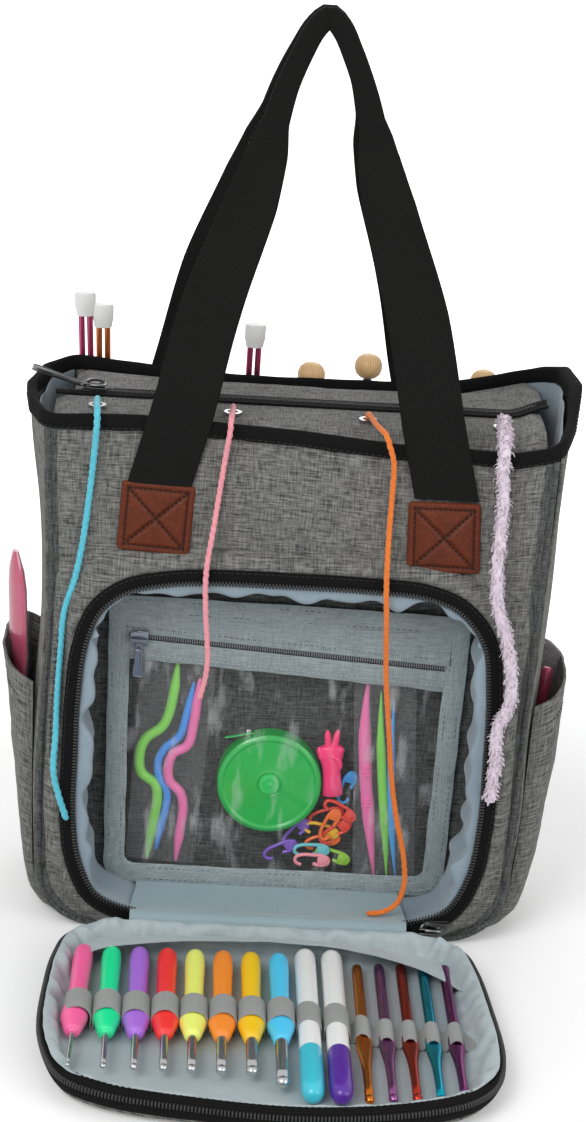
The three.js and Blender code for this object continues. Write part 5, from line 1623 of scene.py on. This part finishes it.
def head_rings(radius, end, neck):
    """The crook of a hook: a notch cut in from its upper side, then a rounded head."""
    r = radius
    return [(r, r, end - neck * 3.4, 0), (0.97 * r, 0.95 * r, end - neck * 2.8, 0.04 * r),
            (0.92 * r, 0.64 * r, end - neck * 2.2, 0.34 * r),
            (0.88 * r, 0.56 * r, end - neck * 1.85, 0.42 * r),
            (0.95 * r, 0.82 * r, end - neck * 1.5, 0.16 * r), (1.03 * r, 1.0 * r, end - neck * 1.2, 0),
            (1.04 * r, 1.02 * r, end - neck * 0.85, 0), (0.93 * r, 0.91 * r, end - neck * 0.48, 0),
            (0.7 * r, 0.69 * r, end - neck * 0.2, 0), (0.38 * r, 0.38 * r, end - neck * 0.05, 0),
            (0.12 * r, 0.12 * r, end, 0)]


def build_hooks():
    for k, (label, colour) in enumerate(zip(HOOK_NAMES, HOOK_COLOURS)):
        radius = 1.15 + 1.75 * k / 7
        end = 125.0 if label == "blue" else 116.0
        paint = moulded_paint("grip_" + label, colour, 0.42, 0.08, 0.08, 0.2)
        grip = drawn_out("grip", [(wide, deep, height, 0) for wide, deep, height in GRIP], paint, 24, 60)
        collar = drawn_out("collar", round_rings([(radius + 0.9, 83.2), (radius + 0.85, 84.9), (radius + 0.3, 85.4)]),
                           paint, 18, 50)
        shank = drawn_out("shank", [(radius, radius, 82, 0)] + head_rings(radius, end, 0.9 + 0.75 * radius),
                          STEEL, 20, 50)
        piece = join_up("soft_grip_hook_" + label, [grip, collar, shank])
        tilt = math.radians((-3, 0.4, 0.6, 0.3, -1.0, -1.1, -0.6, -0.4)[k])
        along = (math.sin(tilt) * 0.35, -math.cos(tilt), 0)
        set_down(piece, (HOOK_XS[k], HOOK_TOP, 10.9), along, UP)
        own(piece, label + "_hook", ("hook_" + label,))


def build_pens():
    ends = (("turquoise", rgb(62, 202, 222)), ("violet", rgb(88, 34, 158)))
    for k, (label, colour) in enumerate(ends):
        cap = moulded_paint("pen_end_" + label, colour, 0.3, 0.05, 0.05, 0.3)
        barrel = drawn_out("barrel", round_rings([(0.6, 0.9), (2.6, 1.1), (4.2, 2.2), (4.95, 4.4), (5.15, 7), (5.15, 60),
                                                  (5.15, 100), (4.9, 101.2)]), WHITE_PLASTIC, 32, 40)
        top = drawn_out("top", round_rings([(0.4, 0.2), (2.0, 0.3), (3.1, 0.9), (3.6, 1.9), (3.2, 2.2)]), cap,
                        24, 50)
        end = drawn_out("end", round_rings([(4.8, 99.2), (5.25, 99.5), (5.4, 101), (5.45, 118), (5.4, 131), (5.15, 135),
                                            (4.5, 138), (3.3, 140), (1.8, 140.8), (0.5, 141)]), cap, 32, 50)
        seam = drawn_out("seam", round_rings([(5.2, 64.2), (5.28, 64.3), (5.28, 64.7), (5.2, 64.8)]), cap, 32,
                         50)
        piece = join_up("marker_" + label, [barrel, top, end, seam])
        set_down(piece, (PEN_XS[k], PEN_TOP, 10.0), ALONG_FLAP, UP)
        own(piece, f"pen_{k + 1}", (f"marker_pen_{k + 1}",))


def build_slim_hooks():
    colours = (("anodised_amber", rgb(214, 122, 38)), ("anodised_plum", rgb(158, 100, 156)),
               ("anodised_red", rgb(190, 62, 44)), ("anodised_teal", rgb(26, 176, 204)),
               ("anodised_plum", rgb(142, 66, 128)))
    for k, (slot, colour) in enumerate(colours):
        paint = metal_paint(f"slim_finish_{k + 1}", colour, 0.3, 0.06, 0.0, 0.05)
        rings = [(0.5, 0.5, 0, 0), (1.7, 1.7, 0.3, 0), (2.4, 2.4, 1.3, 0), (2.6, 2.6, 3.5, 0),
                 (2.6, 2.6, 30, 0),
                 (2.6, 2.6, 64, 0), (3.1, 2.1, 69, 0), (3.8, 1.6, 74, 0), (3.9, 1.5, 79, 0),
                 (3.8, 1.6, 84, 0),
                 (3.2, 2.0, 89, 0), (2.6, 2.4, 94, 0), (2.25, 2.25, 100, 0), (2.05, 2.05, 110, 0),
                 (2.0, 2.0, 118, 0)]
        piece = drawn_out(f"slim_metal_hook_{k + 1}", rings + head_rings(2.1 - 0.1 * (k == 4), 131, 2.9)[1:],
                          paint, 24, 50)
        set_down(piece, (SLIM_XS[k], SLIM_TOP + (0, 1.6, 3.0, 2.2, 4.0)[k], 8.3), ALONG_FLAP, UP)
        own(piece, f"slim_{k + 1}", (f"slim_hook_{k + 1}",))


build_hooks()
build_pens()
build_slim_hooks()


# Sliders of the flap and of the window

def build_flap_slider():
    piece = slider("flap_slider_body", 11, 7.4, 3.2, ZINC)
    set_down(piece, (79.5, -66.2, 8.8), (0, 0.25, 1), (0, -1, 0.25))
    grip = pull_tab("flap_slider_grip", 12, 4.4, 1.4, BLACK_RUBBER, 1.6)
    grip.data.transform(Matrix.Translation(Vector((76.5, -65.6, 14.4)) * MM))
    own(join_up("flap_slider_piece", [piece, grip]), "flap_slider", ("flap_zip_slider",))


def build_window_slider():
    slope = math.radians(-3.4)
    along = np.array([math.cos(slope), 0, math.sin(slope)])
    piece = slider("window_slider_body", 9.2, 7.6, 3.0, ENAMEL)
    turned = Matrix([[along[k], np.cross(FRONT, along)[k], (0.0, -1.0, 0.0)[k]] for k in range(3)]).to_4x4()
    piece.data.transform(Matrix.Translation(Vector((-72.4, -28.3, 145.1)) * MM) @ turned)
    own(piece, "window_slider", ("window_zip_slider",))
    pull = pull_tab("window_pull_tab", 16.5, 5.2, 1.3, ENAMEL, 1.7)
    down = Matrix([[0, 1, 0], [0, 0, -1], [-1, 0, 0]]).to_4x4()
    pull.data.transform(Matrix.Translation(Vector((-72.38, -31.0, 141.6)) * MM) @ down)
    own(pull, "window_pull", ("window_zip_pull",))


BLACK_RUBBER = moulded_paint("black_rubber", rgb(30, 30, 31), 0.5, 0.1, 0.2)
build_flap_slider()
build_window_slider()


# Things kept in the clear pocket

BEHIND_FILM = -20.5
TAPE_CLEAR = moulded_paint("tape_case_green", rgb(14, 188, 76), 0.28, 0.05, 0.1, 0.5,
                           Transmission_Weight=0.12)
TAPE_DEEP = moulded_paint("tape_hub_green", rgb(30, 196, 92), 0.25, 0.05, 0.1, 0.5)


def build_tape_measure():
    """A round case with a raised edge, a sunken ring, a pressed hub, and the ribbon's end with its clasp."""
    case = drawn_out("case", round_rings([(24.2, 0.2), (25.6, 0.5), (26.4, 1.6), (26.5, 3.4), (26.45, 9.6), (26.2, 11.2),
                                          (25.2, 12.1), (24.0, 12.4), (23.2, 12.0), (22.7, 11.7), (8.2, 11.8),
                                          (7.2, 11.95), (6.4, 12.1), (5.8, 11.6)]), TAPE_CLEAR, 64, 30)
    hub = drawn_out("hub", round_rings([(5.4, 10.6), (5.4, 12.1), (5.0, 12.7), (3.2, 12.9), (2.9, 12.5), (0.4, 12.5)]),
                    TAPE_DEEP, 32, 30)
    ridge = drawn_out("ridge", round_rings([(1.3, 12.3), (1.3, 13.0), (1.0, 13.2), (0.3, 13.2)]), TAPE_DEEP,
                      20, 40)
    piece = join_up("round_tape_measure", [case, hub, ridge])
    set_down(piece, (-3.4, -12.9, 68), FRONT, UP)
    own(piece, "bag", ("tape_measure",))
    ribbon = carried("tape_end", [(-12, -19, 93.4), (-17, -19.2, 92.6), (-22, -19.4, 91.4), (-27, -19.6, 90.4)],
                     oval(2.6, 0.35, 8, 5), (0, 0.2, 1), TAPE_DEEP)
    clasp = block("clasp", (2.4, 2.0, 4.0), NICKEL, 0.4, 2, (-15.2, -19.1, 93.2))
    own(join_up("tape_ribbon_end", [ribbon, clasp]), "bag")


def tapered_rod(name, points, radius, paint, ends=(0.16, 0.16), flat=1.0, taper=0.2):
    """A needle: a smooth rod through points, drawn out to a point at each end."""
    line = smooth_line(upright(points, BEHIND_FILM), 90)
    share = np.linspace(0, 1, 90)
    size = radius * np.minimum(np.interp(share, [0, taper, 1], [ends[0], 1, 1]),
                               np.interp(share, [0, 1 - taper, 1], [1, 1, ends[1]]))
    size[[0, -1]] *= 0.55
    return carried(name, line, oval(1, 1, 12)[None] * size[:, None, None] * [1, flat], FRONT, paint)


def build_cable_needles():
    runs = (("green", rgb(130, 226, 66), 2.6,
             [(-52.5, 131.5), (-53.6, 115), (-56, 101), (-59, 94.5), (-66.5, 88),
                                                (-69.2, 80), (-68, 69.5), (-61, 63.5), (-59.4, 56),
                                                (-61.4, 40), (-63.2, 22)]),
            ("blue", rgb(42, 148, 246), 2.1,
             [(-43.9, 119.5), (-47, 101), (-49.8, 90), (-56.8, 83), (-59.9, 75.5),
                                              (-59, 67.5), (-54.8, 60), (-54.7, 52), (-57.3, 38),
                                              (-58.7, 27)]),
            ("pink", rgb(252, 112, 182), 2.5,
             [(-41.2, 121.8), (-43, 97.5), (-45.6, 85.5), (-52.6, 80.5), (-54.6, 73),
                                               (-53.4, 65.4), (-48.2, 60), (-46.1, 52.5), (-47, 39),
                                               (-48.5, 21.7)]))
    for k, (label, colour, radius, points) in enumerate(runs):
        paint = moulded_paint("cable_needle_" + label, colour, 0.35, 0.05, 0.08, 0.25)
        piece = tapered_rod("cable_needle_" + label, points, radius, paint, (0.3, 0.3), 1.0, 0.12)
        piece.data.transform(Matrix.Translation(Vector((0, (0, 0.4, -0.5)[k], 0)) * MM))
        own(piece, "bag")


def build_straight_needles():
    runs = (("pink", rgb(252, 110, 182), 3.3,
             [(43, 129), (42.9, 102), (45.5, 71.5), (49.4, 44), (53.6, 16.6)]),
            ("green", rgb(126, 226, 60), 2.4,
             [(49.8, 119.7), (51.3, 95.8), (54.7, 63.4), (57.9, 37.6), (60.0, 17)]),
            ("blue", rgb(46, 168, 250), 2.0,
             [(56.6, 114.7), (57.3, 89), (59.7, 55), (62.3, 32), (64.7, 17.2)]))
    for label, colour, radius, points in runs:
        paint = moulded_paint("straight_needle_" + label, colour, 0.35, 0.05, 0.08, 0.25)
        piece = tapered_rod("straight_needle_" + label, points, radius, paint, (0.12, 0.12), 0.8, 0.3)
        own(piece, "bag")
    grooves = []
    for height in (78.5, 76.4, 74.3, 61.6, 59.8, 58.0):
        x = float(np.interp(height, [44, 71.5, 102], [49.4, 45.5, 42.9]))
        grooves.append(drawn_out("groove", round_rings([(3.05, -0.25), (3.42, -0.1), (3.42, 0.1), (3.05, 0.25)]),
                                 bpy.data.materials["straight_needle_pink"], 14, 60))
        set_down(grooves[-1], (x, BEHIND_FILM, height), (-0.13, 0, 1), FRONT)
    own(join_up("straight_needle_rings", grooves), "bag")


def build_charm():
    """A small moulded hand charm with two fingers up."""
    paint = moulded_paint("charm_pink", rgb(255, 50, 122), 0.4, 0.04, 0.05, 0.25)
    parts = [drawn_out("wrist", [(4.6, 2.6, 0, 0), (5.2, 3.0, 0.5, 0), (4.9, 3.0, 6, 0), (4.5, 2.9, 13, 0), (5.1, 3.0, 17.5, 0),
                                 (6.1, 3.2, 21, 0), (6.3, 3.2, 24.5, 0), (5.6, 2.9, 26.6, 0),
                                 (3.5, 2.0, 27.4, 0)], paint, 20, 60)]
    set_down(parts[0], (29.2, BEHIND_FILM - 0.4, 62.2), (-0.1, 0, 1), FRONT)
    fingers = (((25.4, 87), (24.3, 97.4), 1.75), ((28.4, 87.5), (29.6, 97.9), 1.75),
               ((22.6, 82), (20.6, 88.2), 1.8), ((31.2, 86.5), (32.4, 88.6), 2.0))
    for low, high, radius in fingers:
        parts.append(carried("finger", upright(np.linspace(low, high, 8), BEHIND_FILM - 0.8),
                             oval(1, 1, 10)[None] * radius * np.array([0.8, 1, 1, 0.96, 0.98, 0.95, 0.8, 0.35])[:, None, None],
                             FRONT, paint))
    parts.append(carried("thumb", upright(smooth_line([(31.8, 78), (30.5, 83), (26.8, 84.4)], 8), BEHIND_FILM - 3.2),
                         oval(1, 1, 10)[None] * 1.6 * np.array([0.6, 0.95, 1, 1, 1, 0.95, 0.8, 0.35])[:, None, None],
                         FRONT, paint))
    own(join_up("charm_hand", parts), "bag")


def marker_loop(name, centre, turn, colour, depth):
    """A locking stitch marker: a wire loop like a safety pin with a small hooked head."""
    paint = bpy.data.materials.get("marker_" + colour[0]) or moulded_paint("marker_" + colour[0], colour[1],
                                                                           0.3, 0.04,
                                                                           0.05, 0.3)
    loop = smooth_line([(-5.6, -2.7), (-8.4, -1.2), (-8.4, 1.4), (-5.2, 2.9), (0, 3.0), (5.2, 2.7),
                        (8.2, 1.2),
                        (8.2, -1.4), (5.2, -2.6), (0.4, -1.9)], 44)
    cosine, sine = math.cos(turn), math.sin(turn)
    spot = np.stack([loop[:, 0] * cosine - loop[:, 1] * sine, loop[:, 0] * sine + loop[:, 1] * cosine], -1)
    wire = carried("wire", upright(spot + centre, BEHIND_FILM + depth), oval(0.95, 0.95, 8), FRONT, paint)
    head = block("head", (5.2, 2.0, 5.4), paint, 0.8, 2, (5.3, 0, 0))
    head.data.transform(Matrix.Translation(Vector((centre[0], BEHIND_FILM + depth, centre[1])) * MM)
                        @ Matrix.Rotation(-turn, 4, "Y"))
    own(join_up(name, [wire, head]), "bag")


def build_markers():
    violet, scarlet, golden = ("violet", rgb(122, 82, 190)), ("scarlet", rgb(226, 56, 34)), ("golden", rgb(238, 184, 30))
    teal, rose, lime, sky = (("teal", rgb(106, 196, 204)), ("rose", rgb(246, 150, 164)),
                             ("lime", rgb(150, 208, 56)),
                             ("sky", rgb(40, 140, 206)))
    spread = ((4.6, 30.6, 0.5, violet, 0), (12, 40, 0.95, violet, 0.9), (27, 50, 0.35, scarlet, 1.6),
              (33.5, 54, -0.5, scarlet, -1.2), (25, 42, -0.2, golden, 0.8), (32, 42, 0.7, scarlet, -0.4),
              (29, 46.5, 1.2, ("orange", rgb(240, 110, 30)), -1.8), (20.5, 31.5, 0.05, teal, -1.0),
              (21, 26.5, 0.0, rose, -2.4), (31.5, 28, -0.25, lime, 0.6), (36.5, 66, 1.3, sky, 1.2),
              (26, 35.5, 0.3, ("orange", rgb(240, 110, 30)), 1.9))
    for k, (x, z, turn, colour, depth) in enumerate(spread):
        marker_loop(f"stitch_marker_{k + 1}", np.array([x, z]), turn, colour, depth)


def build_clear_sleeves():
    """Two small clear bags round the needles, creased and sealed along their edges."""
    for label, corners, seed in (("left", [(-74, 24), (-39.5, 22), (-33, 131), (-71, 132)], 5),
                                 ("right", [(42.5, 14.5), (74, 17), (67, 124), (35.5, 130)], 9)):
        s, t = np.meshgrid(np.linspace(0, 1, 33), np.linspace(0, 1, 49))
        rows = upright(patch_spot(corners, s, t), -24.0)
        edge = ease(np.minimum(np.minimum(s, 1 - s), np.minimum(t, 1 - t)), 0, 0.08)
        rows[..., 1] -= 0.9 * edge * np.abs(grain_noise(rows * [1, 1, 0.6], 12, seed))
        rows[..., 1] = np.maximum(rows[..., 1], -25.4)
        sleeve = draped_sheet("clear_sleeve_" + label, rows, SLEEVE, 0.12, 0)
        own(sleeve, "bag")


SLEEVE = film_paint("sleeve_film", 0.035)
build_tape_measure()
build_cable_needles()
build_straight_needles()
build_charm()
build_markers()
build_clear_sleeves()


# Needles in the rear pocket, and the cases in the side pockets

SHAFT_PINK = metal_paint("needle_pink", rgb(206, 60, 116), 0.3)
SHAFT_ORANGE = metal_paint("needle_orange", rgb(226, 120, 40), 0.3)
SHAFT_GREY = metal_paint("needle_grey", rgb(150, 152, 156), 0.3)
CASE_PINK = moulded_paint("case_pink", rgb(186, 20, 84), 0.2, 0.03, 0.3, 0.5)
CASE_CLEAR = moulded_paint("case_clear", rgb(238, 226, 233), 0.12, 0.03, 0.05, 0.5, Alpha=0.1)
IN_REAR = 61.0


def standing_needle(name, x, top, lean, cap, shaft):
    """A long needle that stands in the rear pocket: a shaft, and a cap or a knob at its top."""
    rods = []
    radius, apart = (1.6, 2.1) if cap == "cap" else (2.3, 0)
    for shift in sorted({-apart, apart}):
        rod = drawn_out("shaft", round_rings([(0.3, -248), (radius * 0.9, -240), (radius, -225), (radius, -6),
                                              (radius, -2)]), shaft, 14, 60)
        rods.append(set_down(rod, (shift, 0, 0)))
    if cap == "cap":
        top_piece = drawn_out("top", [(3.6, 2.4, -12.5, 0), (4.5, 3.0, -12.1, 0), (4.7, 3.2, -10, 0), (5.3, 3.6, -8, 0),
                                      (5.4, 3.6, -1.6, 0), (5.0, 3.3, -0.4, 0), (3.4, 2.2, 0, 0)], CAP_WHITE,
                                      24, 50)
        parts = rods + [top_piece]
    else:
        top_piece = drawn_out("top", round_rings([(2.6, -12.6), (4.2, -12.2), (6.2, -10.4), (7.1, -7.6), (7.0, -5),
                                                  (5.9, -2.5), (4.0, -0.9), (1.8, -0.1), (0.4, 0)]), WOOD, 28,
                                                  60)
        parts = rods + [top_piece]
    piece = join_up(name, parts)
    set_down(piece, (x, IN_REAR, top), (lean, 0.0, 1), FRONT)
    own(piece, "bag")


def build_standing_things():
    for name, x, top, lean, cap, shaft in (
            ("capped_needle_1", -109.3, 296.5, -0.06, "cap", SHAFT_PINK),
            ("capped_needle_2", -100, 291, -0.05, "cap", SHAFT_ORANGE),
            ("capped_needle_3", -22, 285, 0.0, "cap", SHAFT_PINK),
            ("knob_needle_1", 8, 266.5, 0.01, "knob", SHAFT_GREY),
            ("knob_needle_2", 37, 272.5, 0.02, "knob", SHAFT_GREY),
            ("knob_needle_3", 96.7, 267.5, 0.02, "knob", SHAFT_GREY)):
        standing_needle(name, x, top, lean, cap, shaft)
    sleeve = drawn_out("sleeve", [(2.2, 7.2, 0, 0), (2.9, 9.0, 8, 0), (3.8, 12.0, 24, 0), (3.9, 12.2, 60, 0),
                                  (3.6, 10.4, 68, 0.8), (2.8, 6.0, 76, 1.8), (1.2, 1.8, 81.5, 2.6)],
                                  CASE_CLEAR, 12, 30)
    bundle = drawn_out("bundle", [(1.6, 5.4, 1, 0), (2.2, 7.4, 8, 0.2), (2.9, 10.4, 24, 0.4), (2.9, 10.4, 58, 0.4),
                                  (2.6, 8.2, 67, 1.0), (1.2, 2.6, 76, 2.2)], CASE_PINK, 12, 30)
    case = set_down(join_up("needle_case", [bundle, sleeve]), (-131.2, -8, 103), (-0.05, 0, 1),
                    (0.42, -0.91, 0))
    own(case, "bag")
    tube = drawn_out("tube", round_rings([(2, 0), (4.4, 0.5), (4.9, 2.5), (4.9, 44), (5.2, 44.4), (5.2, 50.5), (4.4, 52.4),
                                          (1.8, 53)]), CASE_CLEAR, 28, 50)
    inside = drawn_out("inside", round_rings([(1.8, 4), (2.8, 5), (2.8, 38), (1.6, 39)]), CASE_PINK, 16, 50)
    tube = set_down(join_up("small_tube", [tube, inside]), (132.5, -4, 92), (0.05, 0, 1), FRONT)
    own(tube, "bag")


build_standing_things()


# Finish of the solids that show as they are

def dress_frame():
    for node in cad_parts.values():
        if node.name.startswith("eyelet_"):
            node.data.materials.clear()
            node.data.materials.append(NICKEL)


dress_frame()
